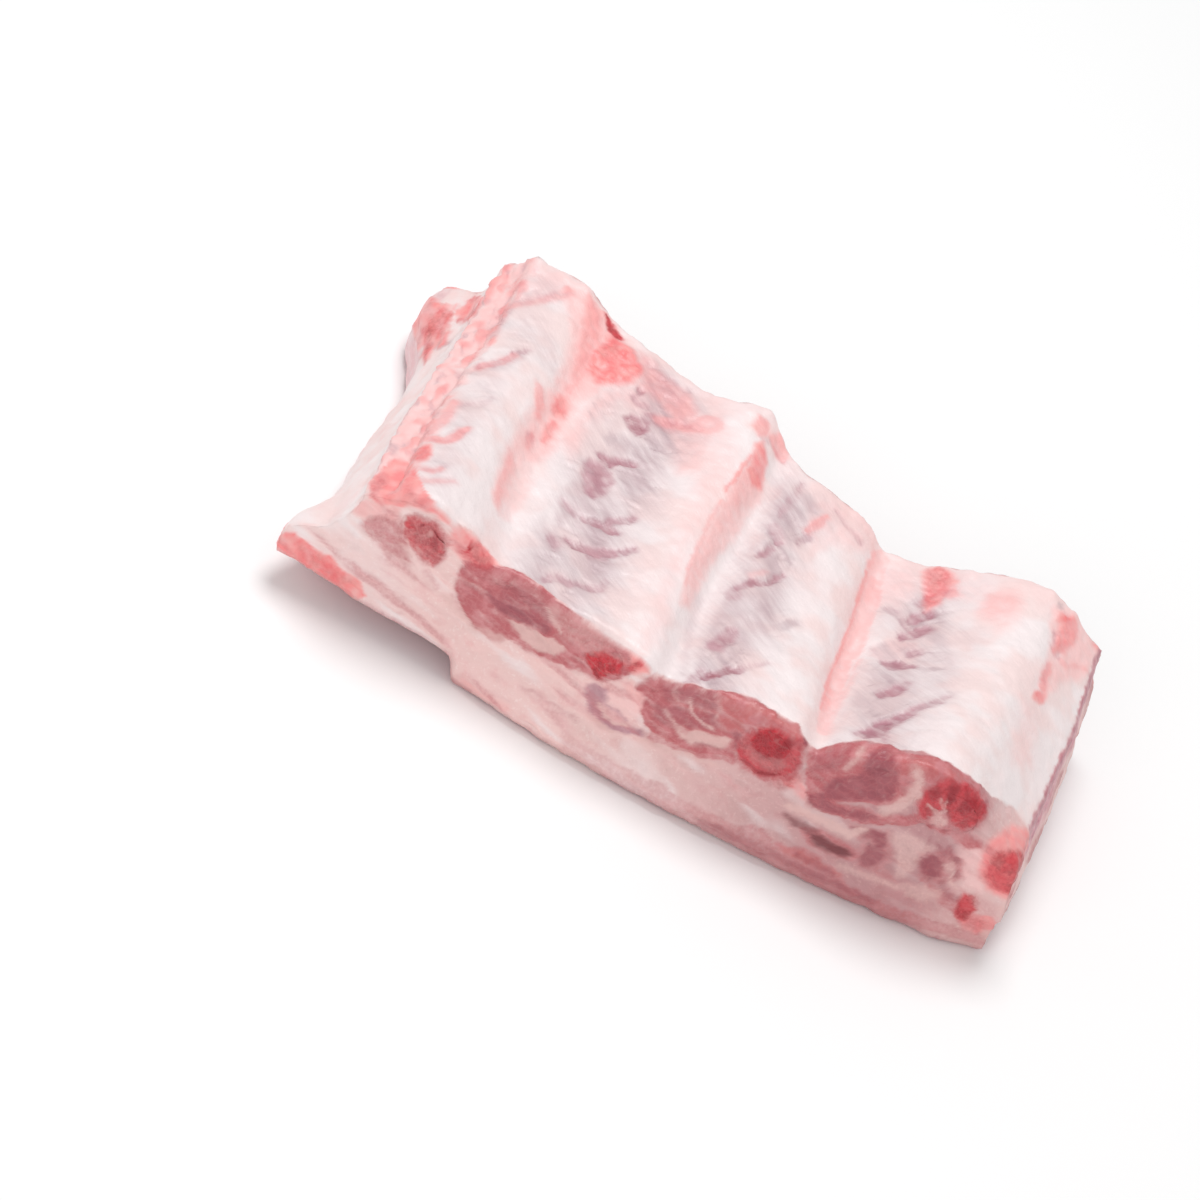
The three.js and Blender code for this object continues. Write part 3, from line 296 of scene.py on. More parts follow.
    ("grey", 0.4, "streak", 2.5, [(-39.3, -30.4, 0.7), (-37.5, -24.7, 1.7), (-34.5, -25.2, 2.1)]),
    ("salmon", 0.6, "area", 1.2, [(-9.5, 43.3), (-9.1, 47.7), (-6.0, 47.9), (-5.0, 44.0), (-7.0, 40.9)]),
    ("salmon", 0.55, "area", 1.2, [(-5.2, 44.5), (-2.8, 48.9), (0.9, 45.9), (1.0, 42.3), (-1.4, 42.4), (-3.6, 43.4)]),
    ("mauve", 0.3, "streak", 0.6, [(-6.4, 41.9, 0.4), (-3.7, 43.7, 0.5), (-1.1, 43.0, 0.5), (0.7, 42.5, 0.5)]),
    ("salmon", 0.9, "area", 1.6, [(-6.6, 38.6), (-5.4, 41.9), (-2.6, 37.4), (-1.1, 30.9), (-3.4, 28.1), (-6.0, 30.0)]),
    ("salmon", 0.3, "streak", 1.8, [(-5.2, 30.5, 1.1), (-5.1, 25.3, 1.1), (-5.2, 19.7, 0.9)]),
    ("salmon", 0.7, "streak", 0.7, [(-6.4, 35.2, 0.4), (-7.2, 29.5, 0.4), (-7.6, 24.4, 0.4), (-8.2, 19.8, 0.3)]),
    ("pink", 0.85, "area", 1.8, [(-7.1, 29.3), (-1.3, 33.8), (-0.3, 26.8), (-1.8, 20.7), (-1.4, 13.5), (-2.7, 6.8), (-3.5, -1.2), (-3.9, -9.1), (-3.5, -16.5), (-5.9, -19.4), (-7.2, -13.6), (-7.8, -7.1), (-7.8, 0.4), (-7.8, 7.9), (-7.8, 16.0), (-7.4, 22.6)]),
    ("salmon", 0.38, "streak", 0.7, [(-8.0, 16.4, 0.3), (-8.2, 8.0, 0.4), (-8.0, 0.8, 0.5), (-7.8, -6.3, 0.4), (-7.0, -13.2, 0.4)]),
    ("salmon", 0.15, "streak", 1.4, [(-5.2, 23.3, 1.3), (-5.7, 9.9, 1.1), (-6.2, -0.3, 0.9), (-5.6, -10.7, 0.9)]),
    ("pink", 0.4, "area", 4, [(-20.1, 38.1), (-12.3, 39.2), (-8.2, 29.3), (-8.8, 13.6), (-9.2, -1.9), (-7.8, -18.4), (-6.3, -34.5), (-8.7, -40.3), (-11.1, -23.2), (-12.6, -6.2), (-14.1, 11.2), (-16.1, 24.8)]),
    ("mauve", 0.45, "streak", 1, [(6.4, 38.1, 0.4), (5.9, 32.7, 0.7), (5.4, 28.5, 0.7), (5.0, 25.1, 0.4)]),
    ("mauve", 0.45, "streak", 1.2, [(4.5, 21.2, 0.9), (6.0, 19.5, 1.3), (7.4, 17.6, 1.1)]),
    ("mauve", 0.75, "streak", 0.8, [(7.9, 17.7, 0.5), (6.7, 14.3, 0.7), (5.8, 11.6, 0.7), (4.5, 9.3, 0.6)]),
    ("dark", 0.18, "streak", 0.6, [(6.0, 12.5, 0.3), (5.2, 10.3, 0.5)]),
    ("grey", 0.7, "streak", 1.5, [(7.4, 17.6, 1.1), (10.1, 20.9, 1.4), (12.7, 23.3, 1.1)]),
    ("salmon", 0.55, "streak", 1, [(14.4, 32.7, 0.4), (13.4, 29.4, 0.9), (12.0, 25.7, 0.9)]),
    ("mauve", 0.45, "streak", 1, [(13.0, 25.8, 0.7), (12.4, 22.6, 0.8), (11.5, 19.8, 0.6)]),
    ("mauve", 0.42, "spot", 0, [(3.5, -5.8), (1.7, 1.4), (0.7, -2.5)]),
    ("mauve", 0.85, "streak", 0.8, [(3.7, -4.1, 0.7), (4.6, -1.7, 0.7), (5.9, 0.5, 1.0), (8.1, 2.4, 0.7), (9.8, 4.7, 0.6), (11.3, 8.0, 0.5)]),
    ("dark", 0.25, "streak", 0.6, [(5.3, 0.0, 0.6), (7.3, 1.7, 0.4)]),
    ("dark", 0.2, "streak", 0.6, [(9.2, 4.2, 0.5), (10.0, 5.7, 0.4)]),
    ("salmon", 0.25, "streak", 1, [(5.1, 2.5, 0.5), (7.6, 5.5, 0.5)]),
    ("grey", 0.6, "streak", 1, [(3.4, -9.8, 0.7), (5.7, -9.5, 1.1)]),
    ("mauve", 0.85, "area", 1.3, [(2.9, -26.2), (3.8, -22.0), (5.3, -18.1), (7.3, -16.9), (8.0, -19.5), (7.0, -23.5), (6.2, -26.5), (4.3, -27.2)]),
    ("dark", 0.16, "spot", 0, [(5.7, -22.1), (1.0, 2.4), (1.0, -1.2)]),
    ("grey", 0.7, "area", 3, [(2.9, -40.9), (2.1, -29.6), (1.6, -18.0), (1.9, -4.2), (2.9, 4.2), (8.3, 10.7), (12.6, 8.7), (9.0, -4.3), (10.6, -19.0), (9.6, -27.9), (6.7, -34.2)]),
    ("grey", 0.7, "streak", 1.6, [(7.7, -16.6, 1.2), (11.4, -13.1, 1.2), (15.2, -9.6, 1.1), (18.0, -5.3, 0.8)]),
    ("mauve", 0.5, "streak", 1, [(4.4, -35.1, 0.7), (3.7, -38.4, 1.1), (3.0, -41.6, 1.1)]),
    ("mauve", 0.95, "streak", 0.8, [(5.4, -37.1, 0.8), (7.0, -34.7, 0.9), (8.9, -31.6, 1.0), (11.2, -29.8, 0.8)]),
    ("dark", 0.55, "streak", 0.6, [(6.4, -35.6, 0.4), (8.0, -33.1, 0.7), (9.9, -30.8, 0.6)]),
    ("mauve", 0.35, "streak", 1, [(11.2, -29.8, 0.5), (13.9, -26.1, 0.6), (16.4, -23.3, 0.4)]),
    ("grey", 0.4, "streak", 2, [(-2.4, -11.3, 0.8), (-0.7, -26.6, 0.9), (1.6, -37.7, 0.8)]),
    ("pink", 0.95, "area", 0.8, [(26.8, 35.2), (29.0, 40.4), (31.6, 37.1), (33.0, 26.1), (33.5, 20.3), (33.5, 10.8), (34.0, 3.8), (32.9, -0.8), (33.4, -11.4), (33.4, -19.8), (33.7, -27.1), (34.0, -32.6), (31.3, -32.9), (29.7, -23.3), (29.3, -12.6), (29.2, 0.6), (29.0, 10.8), (28.4, 20.2), (27.7, 27.9)]),
    ("salmon", 0.6, "streak", 0.6, [(27.8, 29.2, 0.4), (28.4, 22.1, 0.5), (29.0, 13.6, 0.3), (29.6, 3.0, 0.3), (29.7, -9.9, 0.3), (29.7, -18.8, 0.5), (30.3, -25.5, 0.3)]),
    ("salmon", 0.2, "area", 1.4, [(27.9, 30.4), (31.6, 30.1), (33.1, 22.1), (30.6, 20.4), (28.8, 22.4)]),
    ("salmon", 0.12, "streak", 1, [(30.1, 15.2, 1.2), (30.7, 3.3, 1.0), (31.2, -9.2, 1.0)]),
    ("salmon", 0.35, "streak", 1, [(30.5, -15.9, 0.9), (30.9, -24.1, 0.9)]),
    ("salmon", 0.3, "streak", 0.8, [(27.7, 36.3, 0.5), (27.7, 31.0, 0.6)]),
    ("pink", 0.6, "streak", 0.7, [(34.1, -0.5, 0.3), (34.1, -13.4, 0.4), (33.4, -21.8, 0.5), (34.2, -31.9, 0.4)]),
    ("pink", 0.6, "spot", 0, [(34.8, 29.1), (4.7, 2.5), (1.7, -7.1)]),
    ("mauve", 0.4, "streak", 0.7, [(16.5, 36.5, 0.5), (18.8, 34.9, 0.6), (21.6, 34.0, 0.6), (23.9, 33.4, 0.7)]),
    ("pink", 0.5, "area", 3, [(8.5, 34.0), (17.6, 43.3), (26.9, 45.8), (32.3, 43.3), (25.5, 31.6), (17.8, 25.9), (15.1, 19.0)]),
    ("salmon", 0.8, "area", 1.8, [(39.2, 37.3), (41.8, 40.7), (45.2, 39.7), (46.7, 36.3), (45.5, 32.0), (45.1, 26.2), (42.9, 24.6), (41.1, 31.1)]),
    ("red", 0.32, "area", 1.4, [(39.8, 38.3), (42.3, 40.5), (44.8, 38.8), (45.3, 35.1), (43.5, 33.6), (41.0, 35.0)]),
    ("red", 0.2, "streak", 1, [(42.9, 34.2, 1.1), (42.9, 28.6, 0.9), (42.2, 24.3, 0.7)]),
    ("salmon", 0.6, "streak", 1.4, [(41.2, 36.2, 1.6), (44.3, 34.7, 2.3), (46.5, 31.5, 1.5)]),
    ("red", 0.14, "spot", 0, [(42.2, 34.7), (1.9, 0.7), (0.7, -2.9)]),
    ("mauve", 0.75, "streak", 0.9, [(41.9, 26.6, 1.1), (43.3, 29.6, 1.4), (44.8, 32.5, 1.1)]),
    ("mauve", 0.95, "streak", 0.8, [(41.2, 18.9, 0.8), (42.3, 21.8, 1.3), (44.0, 23.4, 1.4)]),
    ("dark", 0.16, "streak", 0.7, [(42.0, 21.3, 0.6), (43.6, 23.6, 0.8)]),
    ("mauve", 0.95, "streak", 0.9, [(40.5, 11.9, 0.9), (42.3, 13.5, 1.2), (43.7, 16.6, 1.4), (45.1, 17.9, 1.0)]),
    ("dark", 0.14, "streak", 0.7, [(42.8, 15.0, 0.6), (44.4, 17.3, 0.8)]),
    ("mauve", 0.45, "streak", 1.4, [(39.6, 18.2, 1.0), (41.6, 14.9, 1.0)]),
    ("mauve", 0.3, "spot", 0, [(36.9, 20.1), (2.1, -0.3), (0.1, -1.9)]),
    ("grey", 0.6, "streak", 1.6, [(34.4, 20.3, 1.1), (37.5, 20.1, 1.5), (39.6, 20.3, 1.2)]),
    ("mauve", 0.95, "streak", 0.8, [(39.0, 0.4, 1.0), (40.7, 0.2, 1.7), (42.6, 1.0, 1.7), (44.5, 1.3, 0.8)]),
    ("dark", 0.2, "streak", 0.6, [(39.8, 0.3, 0.6), (42.2, 0.9, 0.8)]),
    ("grey", 0.8, "streak", 1, [(42.6, 0.6, 1.1), (46.8, 0.8, 0.9), (50.6, 2.2, 0.6)]),
    ("mauve", 0.6, "streak", 0.8, [(43.5, 5.8, 0.6), (44.8, 7.6, 1.0)]),
    ("grey", 0.6, "area", 2, [(35.2, 4.4), (39.9, 10.8), (43.7, 10.6), (45.3, 6.0), (42.7, 1.5), (38.7, 0.7), (35.8, 1.7)]),
    ("pink", 0.5, "area", 2, [(35.2, 4.4), (39.9, 10.8), (43.7, 10.6), (45.3, 6.0), (42.7, 1.5), (38.7, 0.7), (35.8, 1.7)]),
    ("mauve", 0.95, "streak", 0.9, [(41.0, -13.0, 1.1), (42.5, -11.5, 1.5), (44.1, -8.7, 1.0)]),
    ("dark", 0.16, "streak", 0.9, [(41.0, -13.0, 0.7), (42.9, -11.3, 1.1)]),
    ("mauve", 0.5, "streak", 1, [(43.6, -9.7, 1.0), (44.7, -6.7, 1.0)]),
    ("grey", 0.6, "area", 3, [(35.2, -19.6), (36.0, -10.5), (39.1, -6.7), (46.4, -2.5), (48.6, -9.8), (46.2, -19.6), (42.7, -27.4), (39.2, -30.1)]),
    ("mauve", 1, "streak", 1, [(40.1, -31.0, 1.5), (42.3, -29.7, 2.0), (43.6, -25.8, 1.7), (45.1, -23.6, 1.4), (46.6, -20.9, 1.0), (48.1, -18.1, 0.9)]),
    ("dark", 0.3, "streak", 0.8, [(40.9, -30.7, 1.1), (42.9, -29.1, 1.2), (44.2, -25.2, 0.8)]),
    ("mauve", 0.65, "streak", 0.9, [(47.8, -18.2, 1.2), (50.0, -15.2, 1.1), (52.5, -13.2, 0.9)]),
    ("mauve", 0.45, "streak", 0.8, [(51.7, -13.2, 0.9), (53.6, -10.0, 0.6)]),
    ("mauve", 0.6, "streak", 0.9, [(44.6, -34.1, 0.6), (45.1, -30.5, 0.6)]),
    ("mauve", 0.35, "streak", 1.5, [(40.5, -35.5, 1.5), (43.8, -34.0, 2.0)]),
    ("grey", 0.5, "streak", 2, [(46.2, -19.6, 1.5), (50.1, -12.9, 1.9), (53.4, -8.7, 1.3)]),
    ("grey", 0.35, "spot", 0, [(47.9, -5.6), (6.6, 7.4), (2.3, -7.9)]),
    ("grey", 0.4, "area", 4, [(40.2, 9.2), (46.4, 20.1), (53.1, 5.4), (54.0, -12.1), (48.8, -23.2), (43.8, -22.7)]),
    ("salmon", 0.28, "spot", 0, [(56.9, 31.4), (4.0, 3.7), (1.5, -4.7)]),
    ("pink", 0.5, "area", 3.5, [(51.7, 34.1), (57.6, 36.4), (61.0, 32.9), (62.1, 26.5), (58.7, 21.0), (54.7, 24.8)]),
    ("pink", 0.35, "spot", 0, [(50.8, 33.8), (4.8, 1.7), (0.9, -4.5)]),
    ("grey", 0.25, "area", 3, [(46.4, 20.1), (56.4, 21.8), (56.9, 13.7), (49.6, 8.4)]),
    ("salmon", 0.95, "spot", 0, [(71.5, 36.9), (1.8, 2.5), (0.4, -1.2)]),
    ("salmon", 0.72, "area", 1.5, [(69.5, 36.9), (72.8, 40.7), (75.5, 39.0), (75.6, 33.2), (73.9, 28.2), (71.7, 25.0), (71.2, 29.9), (70.4, 34.3)]),
    ("salmon", 0.8, "spot", 0, [(72.6, 30.0), (1.6, 2.3), (0.7, -1.9)]),
    ("red", 0.12, "spot", 0, [(72.6, 28.1), (1.4, 2.0), (0.5, -1.4)]),
    ("mauve", 0.5, "streak", 0.7, [(70.5, 30.3, 0.5), (71.1, 26.7, 0.8), (72.3, 25.9, 1.3)]),
    ("pink", 0.9, "area", 2, [(66.9, 37.5), (73.0, 42.9), (80.0, 48.5), (83.6, 45.7), (82.3, 36.5), (80.7, 28.9), (76.1, 20.5), (74.0, 11.9), (72.2, 7.1), (71.1, 14.9), (70.8, 23.7)]),
    ("salmon", 0.3, "streak", 0.9, [(74.4, 25.2, 0.7), (78.0, 29.5, 0.5), (80.9, 32.1, 0.4)]),
    ("salmon", 0.9, "spot", 0, [(72.2, 9.0), (1.6, 2.5), (0.6, -1.7)]),
    ("salmon", 0.6, "streak", 1, [(71.9, 20.5, 0.7), (71.8, 15.9, 1.0), (72.0, 12.5, 1.0)]),
    ("mauve", 0.25, "streak", 0.8, [(71.9, 14.6, 0.8), (71.5, 19.8, 0.5)]),
    ("salmon", 0.7, "spot", 0, [(81.6, 43.6), (1.9, 2.7), (0.9, -2.6)]),
    ("grey", 0.5, "spot", 0, [(69.3, 39.3), (0.9, 1.2), (0.3, -1.0)]),
    ("pink", 0.4, "area", 4, [(68.4, 2.9), (72.6, 5.9), (76.6, -9.9), (71.5, -17.0)]),
]

CUT_MARKS = FRONT_MARKS + BONE_MARKS
MASKS = ["muscle", "dark", "red", "salmon", "pink", "grey", "pale", "plum", "mauve", "brick", "deep", "blood"]
M = {name: k for k, name in enumerate(MASKS)}


# ---------- small functions ----------
def clamp(v):
    return np.clip(v, 0.0, 1.0)


def smooth(e0, e1, v):
    t = clamp((v - e0) / (e1 - e0))
    return t * t * (3 - 2 * t)


def lerp(p, q, t):
    return p + (q - p) * t


def bell(v):
    return np.exp(-v * v)


def swell(rows, x):
    return sum(h * bell((x - c) / w) for c, h, w in rows)


def fillet(d, r):
    t = clamp(1 - d / r)
    return r * (1 - np.sqrt(np.maximum(0, 1 - t * t)))


_rng = np.random.default_rng(11)
_grad = _rng.normal(size=(256, 3))
_grad /= np.linalg.norm(_grad, axis=1)[:, None]
_perm = _rng.permutation(256)


def noise(p, size, seed=0):
    """Gradient noise of the points, about -1 to 1; size is the distance between its lumps."""
    q = p / np.asarray(size, float) + 13.7 * seed + 100
    i = np.floor(q).astype(np.int64)
    f = q - i
    w = f * f * f * (f * (f * 6 - 15) + 10)
    total = np.zeros(len(q))
    for dx in (0, 1):
        hx = _perm[(i[:, 0] + dx) & 255]
        wx = w[:, 0] if dx else 1 - w[:, 0]
        for dy in (0, 1):
            hy = _perm[(hx + i[:, 1] + dy) & 255]
            wy = wx * (w[:, 1] if dy else 1 - w[:, 1])
            for dz in (0, 1):
                g = _grad[_perm[(hy + i[:, 2] + dz) & 255]]
                wz = wy * (w[:, 2] if dz else 1 - w[:, 2])
                total += wz * ((f[:, 0] - dx) * g[:, 0] + (f[:, 1] - dy) * g[:, 1] + (f[:, 2] - dz) * g[:, 2])
    return total * 1.7


# ---------- the block ----------
def front_y(x):
    return FRONT_Y + 4 * smooth(40, 85, x) + 3.5 * smooth(-5, -45, x)


def back_y(x):
    return (58 - 16 * smooth(-55, 10, x) + 3.5 * bell((x + 63) / 10) + 7 * bell((x + 9) / 8.5) - 1.4 * bell((x - 31) / 9)
            + 1.6 * bell((x - 57) / 14) + 1.2 * smooth(66, 86, x) + 2.6 * smooth(-62, -75, x))


def left_x(b, c):
    return (X_LEFT + 5.5 * smooth(0.89, 1.0, c) - 5.2 * smooth(0.8, 0.25, c) - 1.4 * bell((b - 0.35) / 0.2)
            - 6.5 * bell((b - 0.02) / 0.1) * smooth(0.45, 0.2, c)
            - 6.6 * bell((b - 0.93) / 0.13) * smooth(0.62, 0.34, c))


def right_x(b, c):
    return X_RIGHT + 0.6 - 1.2 * bell(b / 0.2) + 3.2 * smooth(0.98, 0.5, c) + 0.9 * bell((b - 0.62) / 0.2)


def top_z(x, b):
    f = FRONT_HEIGHT + swell(FRONT_SWELLS, x)
    r = BACK_HEIGHT + swell(BACK_SWELLS, x)
    z = lerp(f, r, smooth(-0.12, 1.0, b)) - SAG * np.sin(np.pi * clamp(b))
    for f0, b0, rx, rz in BONES:
        z = z + RIB_RISE * bell((x - lerp(f0, b0, b)) / (rx + 3.2)) * smooth(-0.1, 0.3, b)
    for f0, b0, bow, dep, w in CREASES:
        z = z - dep * bell((x - lerp(f0, b0, b) - bow * np.sin(np.pi * clamp(b))) / w) * lerp(1, 0.55, smooth(0.5, 1, b))
    return z - 7.5 * smooth(64, 92, x)


def base_z(x, b):
    return (5 + 2.2 * smooth(-45, -78, x)) * smooth(-32.5, -36, x) * smooth(0.34, 0.1, b)


def bone_grow(b):
    return 1 + 0.1 * np.sin(np.pi * b)


def rib_floor(x, b):
    top, base = top_z(x, b), base_z(x, b)
    z = (18.6 + 8.5 * smooth(-38, -72, x) - 3.6 * bell((x - 2) / 9) + 1.6 * bell((x - 52) / 10) - 0.8 * bell((x + 14) / 7)
         + 3.5 * smooth(60, 78, x) - 0.8 * np.sin(0.16 * x + 5 * b) * smooth(0.05, 0.3, b) - 3 * smooth(0.3, 1, b) * bell((x - 30) / 22))
    for f0, b0, rx, rz in BONES:
        xb = lerp(f0, b0, b)
        limit = top_z(xb, b) - BONE_COVER - 2 * rz * bone_grow(b) - 1.5
        z = lerp(z, np.minimum(z, limit), smooth(rx + 7.5, rx + 2.2, np.abs(x - xb)))
    return (z - base) / (top - base)


def meat_top(x, b):
    top, base = top_z(x, b), base_z(x, b)
    z = (base + 2 + 2.2 * smooth(-25, 45, x) + 1.6 * smooth(-50, -76, x) + 0.6 * np.sin(0.21 * x + 3.1 * b) * smooth(-40, -20, x) + 2.6 * smooth(0.2, 0.6, b)
         + 9.5 * bell((b - 0.95) / 0.2) * smooth(-58, -74, x))
    return (z - base) / (top - base)


def block_x(a):
    return lerp(X_LEFT, X_RIGHT, a)


def levels(a, b):
    """Lowest and highest z of the block at a and b."""
    x0 = block_x(a)
    d = np.minimum(np.minimum(a, 1 - a) * LENGTH, np.minimum(b, 1 - b) * DEPTH)
    return base_z(x0, b) + fillet(d, BASE_FILLET), top_z(x0, b) - fillet(d, TOP_FILLET)


def front_back(a, c):
    """y of the front cut and of the back cut at a and c."""
    x0 = block_x(a)
    yf = (front_y(x0) - (1.6 * smooth(-50, -25, x0) + 2.2 * bell((x0 - 12) / 28)) * bell((c - 0.08) / 0.15)
          + 4.5 * smooth(70, 88, x0) * smooth(0.5, 0.1, c))
    return yf, back_y(x0) + 6.5 * bell((a - 0.02) / 0.08) * smooth(0.62, 0.34, c)


def warp(a, b, c):
    zb, zt = levels(a, b)
    yf, yb = front_back(a, c)
    return np.stack([lerp(left_x(b, c), right_x(b, c), a), lerp(yf, yb, b), lerp(zb, zt, c)], -1)


def unwarp(x, z, b):
    """a and c of the point of the cut at b (0 or 1) that has this x and z."""
    a = clamp((x - X_LEFT) / LENGTH)
    b = np.full(len(x), float(b))
    c = np.full(len(x), 0.8)
    for _ in range(12):
        zb, zt = levels(a, b)
        c = (z - zb) / (zt - zb)
        lo, hi = left_x(b, c), right_x(b, c)
        a = (x - lo) / (hi - lo)
    return a, c


# ---------- marks to masks ----------
def segments(u, v, pts):
    """Distance to a line of points, and the share of the way along its nearest segment."""
    best = np.full(len(u), 1e9)
    width = np.zeros(len(u))
    for p, q in zip(pts[:-1], pts[1:]):
        ex, ey = q[0] - p[0], q[1] - p[1]
        t = clamp(((u - p[0]) * ex + (v - p[1]) * ey) / max(ex * ex + ey * ey, 1e-9))
        d = np.hypot(u - p[0] - t * ex, v - p[1] - t * ey)
        near = d < best
        best = np.where(near, d, best)
        if len(p) > 2:
            width = np.where(near, lerp(p[2], q[2], t), width)
    return best, width


def inside(u, v, pts):
    odd = np.zeros(len(u), bool)
    for p, q in zip(pts, pts[1:] + pts[:1]):
        if p[1] != q[1]:
            odd ^= ((p[1] > v) != (q[1] > v)) & (u < (q[0] - p[0]) * (v - p[1]) / (q[1] - p[1]) + p[0])
    return odd


def paint(u, v, rows):
    out = np.zeros((len(u), len(MASKS)))
    for mask, strength, kind, soft, pts in rows:
        if kind == "spot":
            (cx, cy), (ax, ay), (bx, by) = pts
            rx, ry = 1.4 * math.hypot(ax, bx), 1.4 * math.hypot(ay, by)
            sel = np.nonzero((np.abs(u - cx) < rx) & (np.abs(v - cy) < ry))[0]
            if not len(sel):
                continue
            du, dv, det = u[sel] - cx, v[sel] - cy, ax * by - ay * bx
            m = smooth(1.38, 0.45, np.hypot(du * by - dv * bx, dv * ax - du * ay) / abs(det))
        else:
            reach = 1.4 * soft + max([q[2] for q in pts] if len(pts[0]) > 2 else [0.0]) + 0.2
            us, vs = [q[0] for q in pts], [q[1] for q in pts]
            sel = np.nonzero((u > min(us) - reach) & (u < max(us) + reach) & (v > min(vs) - reach) & (v < max(vs) + reach))[0]
            if not len(sel):
                continue
            uu, vv = u[sel], v[sel]
            if kind == "area":
                d, _ = segments(uu, vv, pts + pts[:1])
                m = smooth(-0.7 * soft, 0.6 * soft, np.where(inside(uu, vv, pts), d, -d))
            else:
                d, width = segments(uu, vv, pts)
                m = 0.6 * smooth(1.3 * soft, -0.4 * soft, d - width) + 0.4 * smooth(0.35 * soft, -0.25 * soft, d - width)
        k = M[mask]
        out[sel, k] = np.maximum(out[sel, k], strength * m)
    return out


FRONT_KEYS = [X_LEFT, -60, -48.5, -15.2, -4.2, 23.6, 32, 62.6, X_RIGHT]
BACK_KEYS = [X_LEFT, -61.5, -50.5, -14.5, -4, 18, 27.5, 61, X_RIGHT]


def from_back(x0, c, x, z):
    """Where a point of the back cut lies on the front cut, layer for layer and bone for bone."""
    one, zero = np.ones(len(x0)), np.zeros(len(x0))
    xf = np.interp(x0, BACK_KEYS, FRONT_KEYS)
    fb, mb, ff, mf = rib_floor(x0, one), meat_top(x0, one), rib_floor(xf, zero), meat_top(xf, zero)
    cf = np.where(c > fb, ff + (c - fb) / (1 - fb) * (1 - ff),
                  np.where(c > mb, mf + (c - mb) / (fb - mb) * (ff - mf), c / mb * mf))
    zb, zt = levels((xf - X_LEFT) / LENGTH, zero)
    zf = lerp(zb, zt, cf)
    for k in range(len(BONES)):
        fx, fz, frx, frz = (float(v) for v in bone_centre(k, np.array(0.0)))
        bx, bz, brx, brz = (float(v) for v in bone_centre(k, np.array(1.0)))
        near = smooth(1.9, 1.05, np.hypot((x - bx) / brx, (z - bz) / brz))
        xf, zf = lerp(xf, fx + (x - bx) * frx / brx, near), lerp(zf, fz + (z - bz) * frz / brz, near)
    return xf, zf


